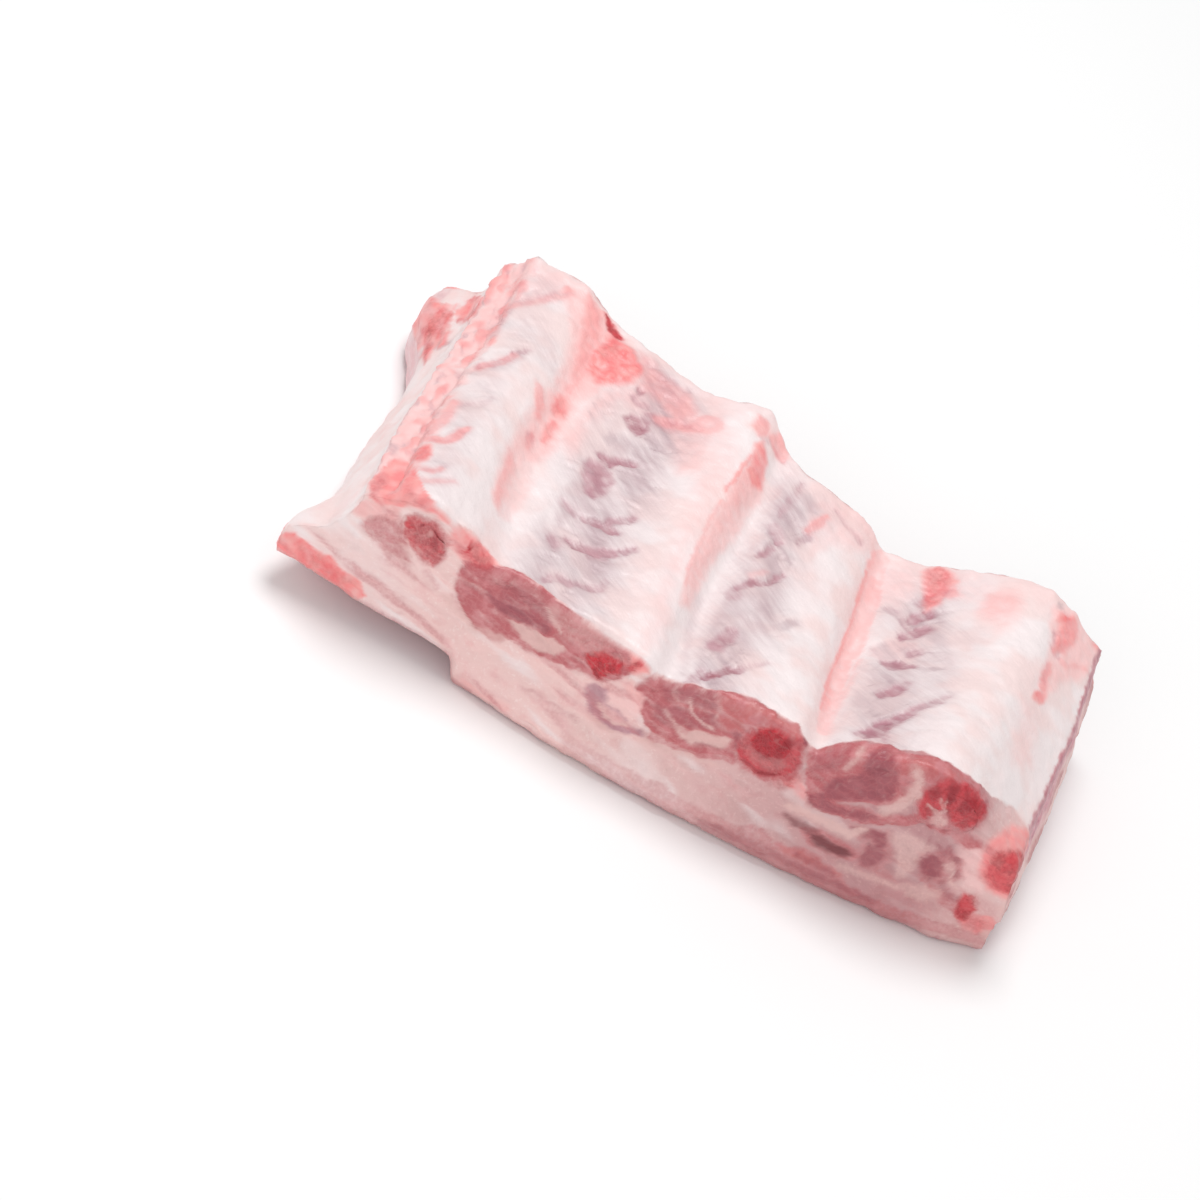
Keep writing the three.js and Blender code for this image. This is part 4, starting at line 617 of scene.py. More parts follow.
# ---------- the skin of the block ----------
def skin(a, b, c):
    """Position with relief, masks, how much membrane covers it (on the cuts this value is painted light in the
    membrane's colour) and painted shade, for points of the block's skin.
    """
    p = warp(a, b, c)
    x, y, z = p.T
    x0 = block_x(a)
    zb, zt = levels(a, b)
    high = zt - zb
    n = len(a)
    d_top, d_base = (1 - c) * high, c * high
    d_front, d_back = b * DEPTH, (1 - b) * DEPTH
    d_left, d_right = a * LENGTH, (1 - a) * LENGTH
    n1, n2, n5, n12 = (noise(p, s, k) for k, s in enumerate((0.9, 2.2, 5.0, 12.0)))
    jag = 0.55 * n2 + 0.3 * n1

    # which face paints each point: the edges between faces are uneven
    t = (y - front_y(x)) / (y - EYE[1])
    xp, zp = x + (EYE[0] - x) * t, z + (EYE[2] - z) * t
    edge = np.interp(xp, [q[0] for q in MEMBRANE_EDGE], [q[1] for q in MEMBRANE_EDGE])
    over = smooth(0.84, 0.9, c) * smooth(17, 13, d_front)
    on_cut = b <= 1e-9
    by_edge = smooth(-0.3, 0.3, edge - zp + 0.35 * jag)
    by_side = smooth(1.1, 0.35, d_front + 0.5 * jag)
    w_front = np.where(on_cut, np.where(c > 0.5, by_edge, 1.0), lerp(by_side, by_edge * smooth(17, 13, d_front), over))
    w_back = (1 - w_front) * smooth(1.3, 0.3, d_back + 0.7 * jag)
    rest = 1 - w_front - w_back
    w_left = rest * smooth(1.1, 0.3, d_left + 0.5 * jag) * smooth(0.895, 0.875, c + 0.006 * jag)
    rest = rest - w_left
    w_right = rest * smooth(1.8, 0.9, d_right + 0.7 * jag)
    rest = rest - w_right
    w_base = rest * smooth(1.2, 0.4, d_base + 0.5 * jag)
    w_top = rest - w_base

    masks = np.zeros((n, len(MASKS)))
    h, painted_light = np.zeros(n), np.zeros(n)

    def part(weight, make):
        sel = np.nonzero(weight > 0.004)[0]
        if len(sel):
            m, hh = make(sel)
            masks[sel] += weight[sel, None] * m
            h[sel] += weight[sel] * hh

    def cut_relief(m, s):
        q = p[s]
        mus, pale = m[:, M["muscle"]], m[:, M["pale"]]
        # thin fat lines in the meat, and folds in the fat that slope down to the right, with painted shade and painted
        # light across each fold
        lines = smooth(0.09, 0.02, np.abs(noise(q, (4.5, 9.0, 2.6), 91))) * smooth(-0.2, 0.3, noise(q, 7.0, 92))
        m[:, M["pale"]] = np.maximum(pale, 0.16 * lines * mus)
        slope = np.stack([(q[:, 0] - 0.22 * q[:, 2]) / 9.0, q[:, 1] / 9, (q[:, 2] + 0.22 * q[:, 0]) / 1.6], -1)
        fold = noise(slope, 1.0, 93)
        fold_2 = noise(slope * 0.45, 1.0, 94)
        fatty = (1 - mus) * (1 - m[:, M["red"]])
        right_side = smooth(10, 60, q[:, 0])
        # painted shade along the folds in the fat: pink streaks
        m[:, M["pink"]] = np.maximum(m[:, M["pink"]], fatty * (1 - 0.8 * right_side) * clamp(0.55 * fold_2 + 0.25 * fold - 0.05))
        groove = fold_2 + 0.4 * fold
        # painted shade along the folds in the fat: streaks of the meat's rose colour
        m[:, M["muscle"]] = np.maximum(mus, fatty * 0.46 * smooth(0.22, 0.62, groove))
        border = 4 * mus * (1 - mus)
        # painted light: lighter bands of fat between the fold lines and towards the left end, weaker on the right; the
        # same array also holds a pale rim round each muscle
        painted_light[s] = (fatty * (0.6 * smooth(0.1, 0.6, -groove) + 0.35 * smooth(-48, -68, q[:, 0])) + 0.2 * border) * (1 - 0.75 * right_side)
        return (0.34 * n5[s] + 0.3 * n2[s] + 0.12 * n1[s] + 0.4 * mus - 0.25 * m[:, M["dark"]] - 0.22 * border
                + fatty * (0.34 * fold + 0.42 * fold_2) - 0.14 * lines * mus - 0.25 * pale * mus + 0.2 * m[:, M["red"]])

    def front(s):
        q = p[s]
        u = xp[s] + 0.5 * noise(q, 2.9, 21) + 0.32 * noise(q, 1.1, 121)
        v = zp[s] + 0.5 * noise(q, 2.9, 22) + 0.32 * noise(q, 1.1, 123)
        m = paint(u, v, CUT_MARKS)
        slant = np.stack([(q[:, 0] - 0.2 * q[:, 2]) / 5.0, q[:, 1] / 6, (q[:, 2] + 0.2 * q[:, 0]) / 1.3], -1)
        soft = clamp(0.96 + 0.42 * noise(slant, 1.0, 155) + 0.1 * noise(q, 0.8, 156))
        m[:, M["muscle"]] *= lerp(soft, lerp(0.3, 0.62, smooth(-15, 45, q[:, 0])), smooth(9, 5, v))
        m[:, M["brick"]] *= soft
        m[:, M["dark"]] *= clamp(0.95 + 0.5 * noise(slant, 1.0, 157))
        m[:, M["salmon"]] *= clamp(0.95 + 0.45 * noise(q, 2.4, 158))
        return m, cut_relief(m, s) + 1.1 * bell(np.hypot(u - 80.0, 0.8 * (v - 26.5)) / 4.6)

    def back(s):
        q = p[s]
        u, v = from_back(x0[s], c[s], x[s], z[s])
        u = u + 1.4 * noise(q, 7.0, 24) + 0.6 * noise(q, 2.4, 25)
        v = v + 1.2 * noise(q, 7.0, 26) + 0.5 * noise(q, 2.4, 27)
        m = paint(u, v, CUT_MARKS) * smooth(0.5, 2.4, d_top[s] + 0.5 * n2[s])[:, None]
        m[:, M["pink"]] = np.maximum(m[:, M["pink"]], smooth(2.4, 0.5, d_top[s]) * clamp(0.6 + 0.5 * n5[s]))
        return m, cut_relief(m, s)

    def left(s):
        q = p[s]
        m = paint(y[s] + 1.5 * noise(q, 5.0, 28) + 0.8 * noise(q, 1.7, 128), z[s] + 1.2 * noise(q, 4.4, 29) + 0.7 * noise(q, 1.5, 129), LEFT_MARKS)
        m[:, M["salmon"]] *= clamp(0.78 + 0.5 * noise(q, (2.5, 4.5, 2.0), 160))
        m[:, M["red"]] = np.maximum(m[:, M["red"]], 0.55 * m[:, M["salmon"]] * smooth(-0.15, 0.6, noise(q, (3.0, 5.0, 2.5), 161)))
        mt = meat_top(x0[s], b[s])
        low = smooth(0.02, -0.01, c[s] - mt)
        flap = low * smooth(22, 12, d_front[s] + 2 * n5[s]) * smooth(0.02, 0.05, mt)
        m[:, M["salmon"]] = np.maximum(m[:, M["salmon"]], flap)
        side = low * smooth(14, 30, d_front[s]) * (1 - m[:, M["salmon"]])
        m[:, M["plum"]] = np.maximum(m[:, M["plum"]], 0.35 * side)
        m[:, M["pale"]] = 0.0
        veil = clamp(0.3 * noise(q, (3, 9, 2.0), 30) + 0.1)
        m[:, M["pink"]] = np.maximum(m[:, M["pink"]], veil)
        return m, 0.35 * n5[s] + 0.25 * noise(q, (2, 7, 2), 31) + 0.08 * n1[s] + 0.4 * m[:, M["salmon"]]

    def right(s):
        q = p[s]
        m = np.zeros((len(s), len(MASKS)))
        fl = rib_floor(x0[s], b[s])
        lean = smooth(-0.12, 0.08, c[s] - fl + 0.05 * n5[s])
        grain = noise(q, (2.0, 9.0, 1.3), 32)
        m[:, M["plum"]] = lean * clamp(0.9 + 0.3 * grain)
        m[:, M["dark"]] = lean * clamp(0.16 * grain + 0.3 * smooth(3.0, 0.6, d_top[s] + n2[s]))
        m[:, M["pink"]] = clamp(0.4 + 0.5 * noise(q, (3, 12, 2.5), 133))
        seam = smooth(0.35, 0.75, noise(q, (3, 14, 1.1), 33)) * 0.7
        m[:, M["pale"]] = np.maximum(seam, 0.0)
        strip = (1 - lean) * smooth(0.1, 0.5, noise(q, (3, 16, 2.2), 34))
        m[:, M["muscle"]] = 0.75 * strip
        low = smooth(0.02, -0.01, c[s] - meat_top(x0[s], b[s]))
        m[:, M["plum"]] = np.maximum(m[:, M["plum"]], 0.8 * low)
        corner = smooth(8, 2, d_front[s] + 2 * jag[s]) * bell((z[s] - 24) / 6)
        m[:, M["salmon"]] = np.maximum(m[:, M["salmon"]], 0.8 * corner)
        m[:, M["red"]] = np.maximum(m[:, M["red"]], 0.55 * corner)
        return m, 0.35 * n5[s] + 0.22 * grain + 0.1 * n1[s] + 0.3 * strip

    def under(s):
        q = p[s]
        m = np.zeros((len(s), len(MASKS)))
        grain = noise(q, (11.0, 1.9, 4.0), 35)
        big = noise(q, (26.0, 15.0, 9.0), 36)
        m[:, M["plum"]] = clamp(0.85 + 0.3 * grain - 0.35 * smooth(0.2, 0.8, big))
        m[:, M["dark"]] = clamp(0.25 * grain + 0.08)
        m[:, M["muscle"]] = clamp(0.35 + 0.4 * noise(q, (20, 9, 9), 37))
        seam = smooth(0.42, 0.62, np.abs(noise(q, (30, 8, 9), 38)) * 1.2)
        m[:, M["pale"]] = 0.8 * seam + 0.4 * smooth(0.3, 0.7, big)
        return m, -0.25 - 0.22 * np.abs(grain) - 0.1 * np.abs(n2[s])

    def top(s):
        q = p[s]
        xs, ys = x[s], y[s]
        # fine fibres cross the membrane at a slant and comb the edges of every mark
        along, across = 0.744 * xs - 0.668 * ys, 0.668 * xs + 0.744 * ys
        comb = noise(np.stack([along / 6.5, across / 0.75, z[s] / 20], -1), 1.0, 44)
        comb_2 = noise(np.stack([along / 14.0, across / 1.9, z[s] / 20], -1), 1.0, 45)
        pull = 0.3 * comb + 0.4 * comb_2
        u = xs + 0.4 * noise(q, 3.4, 41) + 0.25 * noise(q, 1.2, 141)
        v = ys + 0.4 * noise(q, 3.4, 42) + 0.25 * noise(q, 1.2, 143)
        m = paint(u, v, [r for r in TOP_MARKS if r[0] not in ("grey", "dark", "mauve")])
        m = np.maximum(m, paint(u + 0.744 * pull, v - 0.668 * pull, [r for r in TOP_MARKS if r[0] in ("grey", "dark", "mauve")]))
        # the meat between the ribs shows through the membrane as a grey haze with slanting furrows
        haze = sum(most * bell((xs - cx) / w) for cx, w, most in ((-64, 5, 0.6), (-30, 9.5, 1.8), (8, 7.5, 1.25), (43, 8, 1.25)))
        haze = haze * clamp(0.62 + 0.55 * noise(q, (9, 17, 30), 46)) * smooth(0, 9, d_back[s])
        turn = np.radians(np.interp(xs, [-75, -50, -28, -5, 4, 30, 42, 80], [18, 14, 12, 30, 62, 52, 56, 40]))
        lx, ly = xs * np.cos(turn) + ys * np.sin(turn), ys * np.cos(turn) - xs * np.sin(turn)
        ridge = noise(np.stack([lx / 8.5, ly / 2.5, z[s] / 30], -1), 1.0, 48)
        furrow = smooth(0.2, 0.02, np.abs(ridge)) * smooth(-0.1, 0.5, noise(q, (5, 6, 20), 49)) * clamp(1.3 * haze)
        grey, dark, mauve = m[:, M["grey"]], m[:, M["dark"]], m[:, M["mauve"]]
        patch = clamp(0.82 + 0.42 * n2[s] + 0.36 * comb + 0.2 * comb_2)
        grey = np.maximum(grey * clamp(0.85 + 0.3 * n5[s] + 0.35 * comb_2), clamp(haze * (0.66 + 0.17 * comb + 0.26 * comb_2)) + 0.2 * furrow)
        mauve = mauve * patch
        m[:, M["grey"]], m[:, M["dark"]], m[:, M["mauve"]] = grey, dark * patch, mauve
        # warmer near the back edge and the creases
        warm = clamp(0.3 * smooth(16, 2, d_back[s] + 4 * n5[s]) + 0.16 * noise(q, (11, 20, 30), 47))
        m[:, M["pink"]] = np.maximum(m[:, M["pink"]] * clamp(0.95 + 0.3 * n2[s]), warm)
        m[:, M["salmon"]] = m[:, M["salmon"]] * clamp(0.96 + 0.3 * n2[s])
        # the bevel along the left edge is mottled pink, with a thin mauve line at its foot
        strip = smooth(2.4, 0.4, d_left[s] + 1.3 * n2[s] + 1.2 * n5[s])
        blot = smooth(0.0, 0.55, noise(q, (2.6, 5.0, 2.6), 150))
        m[:, M["pink"]] = np.maximum(m[:, M["pink"]], strip * clamp(0.85 + 0.4 * n2[s]))
        m[:, M["salmon"]] = np.maximum(m[:, M["salmon"]], 0.62 * strip * blot)
        line = bell((c[s] - 0.893) / 0.006) * clamp(0.75 + 0.6 * n5[s])
        m[:, M["mauve"]] = np.maximum(m[:, M["mauve"]], strip * np.maximum(0.5 * line, 0.38 * smooth(0.15, 0.6, noise(q, (1.7, 4.5, 1.7), 152))))
        deep = 0.3 * m[:, M["grey"]] + 0.6 * mauve + 0.3 * dark
        hh = (0.4 * n12[s] + 0.26 * n5[s] + 0.12 * n2[s] + (0.06 * comb + 0.12 * comb_2) * (0.2 + haze) - deep - 0.3 * furrow
              + 0.26 * haze * ridge + 0.9 * noise(q, (4.5, 5.5, 6), 151) * bell(d_back[s] / 4.0) * smooth(5, 14, d_left[s])
              + 1.5 * bell((xs + 69.5) / 2.6) * bell(d_back[s] / 8.0)
              + strip * (0.35 * blot + 0.25 * n2[s] - 0.3 * line))
        hh = hh + 0.3 * m[:, M["salmon"]] * (0.7 + n1[s]) + 0.15 * m[:, M["pink"]] * n2[s]
        return m, hh

    part(w_front, front)
    part(w_back, back)
    part(w_left, left)
    part(w_right, right)
    part(w_base, under)
    part(w_top, top)

    # the relief goes out along the faces' directions
    push = np.zeros((n, 3))
    for d, k, sign in ((d_top, 2, 1), (d_base, 2, -1), (d_front, 1, -1), (d_back, 1, 1), (d_left, 0, -1), (d_right, 0, 1)):
        push[:, k] += sign * bell(d / 1.0)
    size = np.linalg.norm(push, axis=1)
    push /= np.maximum(size, 1e-6)[:, None]
    q = p + push * (h * clamp(size))[:, None]
    q[:, 2] = np.maximum(q[:, 2], 0.0)
    # painted shade: the cuts darken towards the right and lighten again at the far right end
    painted_shade = smooth(-18, 62, x) * (1 - 0.75 * smooth(66, 77, x)) * clamp(w_front + w_back)
    # the membrane value also carries the painted light of the cuts
    return q, masks, w_top + 0.9 * w_left + (w_front + w_back) * painted_light, painted_shade, p


def wobble(x0, b, seed):
    q = np.stack([x0, b * DEPTH, np.zeros(len(x0))], -1)
    return 0.35 * noise(q, 4.0, seed) + 0.15 * noise(q, 1.3, seed + 1)


def share(fn, seed):
    """A layer's edge with a small wobble, as a share of the height."""
    def edge(x0, b):
        high = top_z(x0, b) - base_z(x0, b)
        return fn(x0, b) + wobble(x0, b, seed) / high
    return edge


RIB_LOW = share(rib_floor, 51)
FAT_LOW = share(meat_top, 53)


def one(x0, b):
    return np.ones(len(x0))


def nought(x0, b):
    return np.zeros(len(x0))


# ---------- meshes ----------
def zip_loops(outer, po, inner, pi, period):
    """Triangles between two closed loops that run the same way, by the parameter along each."""
    so, si = np.argsort(po, kind="stable"), np.argsort(pi, kind="stable")
    outer, po, inner, pi = outer[so], po[so], inner[si], pi[si]
    no, ni, i, j, out = len(outer), len(inner), 0, 0, []
    while i < no or j < ni:
        no_next = po[(i + 1) % no] + period * ((i + 1) // no) if i < no else 1e9
        ni_next = pi[(j + 1) % ni] + period * ((j + 1) // ni) if j < ni else 1e9
        if no_next <= ni_next:
            out.append((outer[i % no], outer[(i + 1) % no], inner[j % ni]))
            i += 1
        else:
            out.append((outer[i % no], inner[(j + 1) % ni], inner[j % ni]))
            j += 1
    return out


def ring_grid(na, nb):
    """Grid indices round the edge of a grid, counterclockwise from above, with a side parameter."""
    loop = [(i, 0) for i in range(na)] + [(na, j) for j in range(nb)] + [(i, nb) for i in range(na, 0, -1)] + [(0, j) for j in range(nb, 0, -1)]
    par = ([i / na for i in range(na)] + [1 + j / nb for j in range(nb)] + [2 + (na - i) / na for i in range(na, 0, -1)]
           + [3 + (nb - j) / nb for j in range(nb, 0, -1)])
    return loop, np.array(par)


class Layer:
    """Closed mesh of the block between two heights. Vertices are kept as (a, b, c)."""

    def __init__(self, low, high, rows, na=304, nb=178, power=1.0):
        self.na, self.nb, self.rows = na, nb, rows
        self.low, self.high = low, high
        self.abc, self.faces, self.caps = [], [], []
        self.loop, self.par = ring_grid(na, nb)
        self.count = len(self.loop)
        la = np.array([q[0] / na for q in self.loop])
        lb = np.array([q[1] / nb for q in self.loop])
        lo, hi = low(block_x(la), lb), high(block_x(la), lb)
        for k in range(rows + 1):
            t = (k / rows) ** power
            self.abc.append(np.stack([la, lb, lerp(lo, hi, t)], -1))
        self.total = self.count * (rows + 1)
        k, q = np.meshgrid(np.arange(rows), np.arange(self.count), indexing="ij")
        q1 = (q + 1) % self.count
        self.side = np.stack([k * self.count + q, k * self.count + q1, (k + 1) * self.count + q1, (k + 1) * self.count + q], -1)
        self.walls = True

    def side_id(self, k, q):
        return k * self.count + q % self.count

    def cap(self, upper, step=None):
        """Top or bottom. Without a step it is a full grid, else a coarser grid joined to the edge."""
        fn = self.high if upper else self.low
        first = len(self.faces)
        edge = np.arange(self.count) + (self.rows * self.count if upper else 0)
        if step is None:
            ids = np.zeros((self.na + 1, self.nb + 1), int)
            for q, (i, j) in enumerate(self.loop):
                ids[i, j] = edge[q]
            ii, jj = np.meshgrid(np.arange(1, self.na), np.arange(1, self.nb), indexing="ij")
            a, b = (ii / self.na).ravel(), (jj / self.nb).ravel()
            ids[1:-1, 1:-1] = self.total + np.arange(a.size).reshape(ii.shape)
            self.add(a, b, fn(block_x(a), b))
        else:
            inset_a, inset_b = 0.6 * step / LENGTH, 0.6 * step / DEPTH
            ma, mb = int(round(LENGTH / step)), int(round(DEPTH / step))
            ii, jj = np.meshgrid(np.arange(ma + 1), np.arange(mb + 1), indexing="ij")
            a, b = lerp(inset_a, 1 - inset_a, ii / ma).ravel(), lerp(inset_b, 1 - inset_b, jj / mb).ravel()
            ids = self.total + np.arange(a.size).reshape(ii.shape)
            self.add(a, b, fn(block_x(a), b))
            loop, par = ring_grid(ma, mb)
            inner = np.array([ids[i, j] for i, j in loop])
            tris = zip_loops(edge, self.par, inner, par, 4.0)
            self.faces += [t if upper else t[::-1] for t in tris]
        q = np.stack([ids[:-1, :-1], ids[1:, :-1], ids[1:, 1:], ids[:-1, 1:]], -1).reshape(-1, 4)
        if not upper:
            q = q[:, ::-1]
        self.faces += [tuple(r) for r in q]
        self.caps.append((upper, first, len(self.faces)))

    def add(self, a, b, c):
        self.abc.append(np.stack([a, b, c], -1))
        self.total += len(a)

    def hidden(self):
        """Which faces lie between two layers."""
        inner_low = self.low is not nought
        inner_high = self.high is not one
        mark = np.zeros(len(self.faces), bool)
        for upper, a, b in self.caps:
            mark[a:b] = inner_high if upper else inner_low
        return mark

    def finish(self, keep=None):
        side = self.side if keep is None else self.side[keep]
        self.faces += [tuple(r) for r in side.reshape(-1, 4)]
        self.abc = np.concatenate(self.abc)


def bone_centre(k, b):
    f0, b0, rx, rz = BONES[k]
    x = lerp(f0, b0, b)
    bb = clamp(b)
    grow = bone_grow(b)
    z = top_z(x, bb) - BONE_COVER - rz * grow - 0.5 * fillet(np.minimum(bb, 1 - bb) * DEPTH, TOP_FILLET)
    return x, z, rx * grow, rz * grow


def cut_bores(layer):
    """Opens the holes that the bones run through: on both cuts the cells inside the bone go, the
    hole's rim moves onto the bone's outline, and a tube joins the two rims."""
    abc = layer.abc[0] if len(layer.abc) == 1 else np.concatenate(layer.abc)
    keep = np.ones(layer.side.shape[:2], bool)
    na, nb, count, rows = layer.na, layer.nb, layer.count, layer.rows
    spans = {0: np.arange(0, na), 1: np.arange(na + nb, 2 * na + nb)}
    rims = {}
    for b, span in spans.items():
        for k in range(len(BONES)):
            cx, cz, rx, rz = (float(v) for v in bone_centre(k, np.array(float(b))))
            quads = layer.side[:, span]
            mid = abc[quads].mean(2)
            pos = warp(mid[..., 0].ravel(), np.full(mid[..., 0].size, float(b)), mid[..., 2].ravel())
            r = np.hypot((pos[:, 0] - cx) / rx, (pos[:, 2] - cz) / rz).reshape(mid.shape[:2])
            gone = r < 0.985
            gone[0, :] = False
            gone[-1, :] = False
            keep[:, span] &= ~gone
            # the rim: edges of removed cells that no other removed cell shares
            edges = {}
            for kk, ss in zip(*np.nonzero(gone)):
                q = layer.side[kk, span[ss]]
                for e in range(4):
                    edges[(int(q[e]), int(q[(e + 1) % 4]))] = True
            nxt = {u: v for (u, v) in edges if (v, u) not in edges}
            start = next(iter(nxt))
            rim = [start]
            while nxt[rim[-1]] != start:
                rim.append(nxt[rim[-1]])
                if len(rim) > len(nxt):
                    break
            rim = np.array(rim)
            pr = warp(abc[rim, 0], np.full(len(rim), float(b)), abc[rim, 2])
            ang = np.unwrap(np.arctan2((pr[:, 2] - cz) / rz, (pr[:, 0] - cx) / rx))
            turn = 1.0 if ang[-1] > ang[0] else -1.0
            even = turn * 2 * np.pi * np.arange(len(rim)) / len(rim)
            ang = 0.45 * ang + 0.55 * (even + np.mean(ang - even))
            a1, c1 = unwarp(cx + rx * np.cos(ang), cz + rz * np.sin(ang), b)
            abc[rim, 0], abc[rim, 2] = a1, c1
            rims[b, k] = (rim, np.mod(turn * ang, 2 * np.pi), turn)
    layer.abc = [abc]
    return keep, rims


def sum_normals(pos, faces, flat):
    """Sums of the normals of the visible faces round each vertex, by area."""
    out = np.zeros((len(pos), 3))
    for corners in (3, 4):
        f = np.array([q for q, hide in zip(faces, flat) if len(q) == corners and not hide], int).reshape(-1, corners)
        if len(f):
            n = np.cross(pos[f[:, 2]] - pos[f[:, 0]], pos[f[:, corners - 1]] - pos[f[:, 1]])
            for k in range(corners):
                np.add.at(out, f[:, k], n)
    return out


def build(name, pos, faces, masks, membrane_and_painted_light, painted_shade, flat, material, node, slot, normals=None, spongy=None):
    """Blender mesh from positions in millimetres, with the masks as float attributes. flat marks
    the hidden faces between layers, which take no part in the smooth shading of the sides. With
    normals given, the shading at the seams is the same on both sides."""
    order = np.array([len(f) for f in faces])
    flat = np.zeros(len(faces), bool) if flat is None else flat
    flat = np.concatenate([flat[order == 4], flat[order == 3]])
    used = np.zeros(len(pos), bool)
    tri = np.array([f for f in faces if len(f) == 3], int).reshape(-1, 3)
    quad = np.array([f for f in faces if len(f) == 4], int).reshape(-1, 4)
    used[tri.ravel()] = True
    used[quad.ravel()] = True
    index = np.cumsum(used) - 1
    tri, quad = index[tri], index[quad]
    pos = (pos[used] - CENTRE) / 1000
    me = bpy.data.meshes.new(name)
    me.vertices.add(len(pos))
    me.vertices.foreach_set("co", pos.astype(np.float32).ravel())
    loops = np.concatenate([quad.ravel(), tri.ravel()])
    me.loops.add(len(loops))
    me.loops.foreach_set("vertex_index", loops.astype(np.int32))
    starts = np.concatenate([np.arange(len(quad)) * 4, len(quad) * 4 + np.arange(len(tri)) * 3])
    me.polygons.add(len(starts))
    me.polygons.foreach_set("loop_start", starts.astype(np.int32))
    me.polygons.foreach_set("use_smooth", ~flat)
    me.update(calc_edges=True)
    me.validate(verbose=False)
    for label, values in list(zip(MASKS, masks[used].T)) + [("membrane_and_painted_light", membrane_and_painted_light[used]), ("painted_shade", painted_shade[used])]:
        at = me.attributes.new(label, "FLOAT", "POINT")
        at.data.foreach_set("value", np.ascontiguousarray(clamp(values), np.float32))
    if spongy is not None:
        at = me.attributes.new("spongy", "FLOAT", "POINT")
        at.data.foreach_set("value", np.ascontiguousarray(clamp(spongy[used]), np.float32))
    if normals is not None:
        own = normals[used]
        own = own / np.maximum(np.linalg.norm(own, axis=1), 1e-12)[:, None]
        corner = own[loops]
        size = np.concatenate([np.full(len(quad), 4), np.full(len(tri), 3)])
        plain = np.repeat(flat, size)
        face_n = np.zeros((len(starts), 3))
        me.polygons.foreach_get("normal", flat_n := np.zeros(len(starts) * 3, np.float32))
        face_n[:] = flat_n.reshape(-1, 3)
        corner[plain] = np.repeat(face_n, size, axis=0)[plain]
        me.normals_split_custom_set(corner.tolist())
    ob = bpy.data.objects.new(name, me)
    bpy.context.scene.collection.objects.link(ob)
    me.materials.append(material)
    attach(ob, "root")
    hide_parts(node)
    return ob


# ---------- materials ----------
def colour(r, g, b):
    def lin(v):
        v /= 255
        return v / 12.92 if v <= 0.04045 else ((v + 0.055) / 1.055) ** 2.4
    return (lin(r), lin(g), lin(b), 1.0)


COLOURS = {
    "membrane_and_painted_light": (246, 233, 233), "membrane_2": (245, 221, 219),
    # the second fat colours are copies of the fat in painted shade
    "fat": (241, 203, 199), "fat_in_painted_shade": (193, 141, 143), "fat_fleck": (232, 178, 176), "fat_fleck_in_painted_shade": (184, 126, 130),
    "fat_light": (255, 232, 228), "fat_light_in_painted_shade": (220, 172, 170),
    "muscle": (188, 96, 101), "muscle_2": (204, 124, 128), "muscle_3": (222, 156, 156), "dark": (148, 64, 77),
    "brick": (206, 110, 108), "deep": (122, 54, 60), "blood": (144, 14, 32),
    "red": (206, 30, 48), "red_2": (170, 10, 30), "salmon": (248, 132, 133), "salmon_2": (250, 164, 160),
    "pink": (252, 202, 200), "grey": (194, 168, 173), "pale": (228, 186, 181),
    "plum": (224, 146, 160), "plum_2": (202, 124, 140), "mauve": (182, 128, 140), "mauve_2": (196, 146, 156),
}


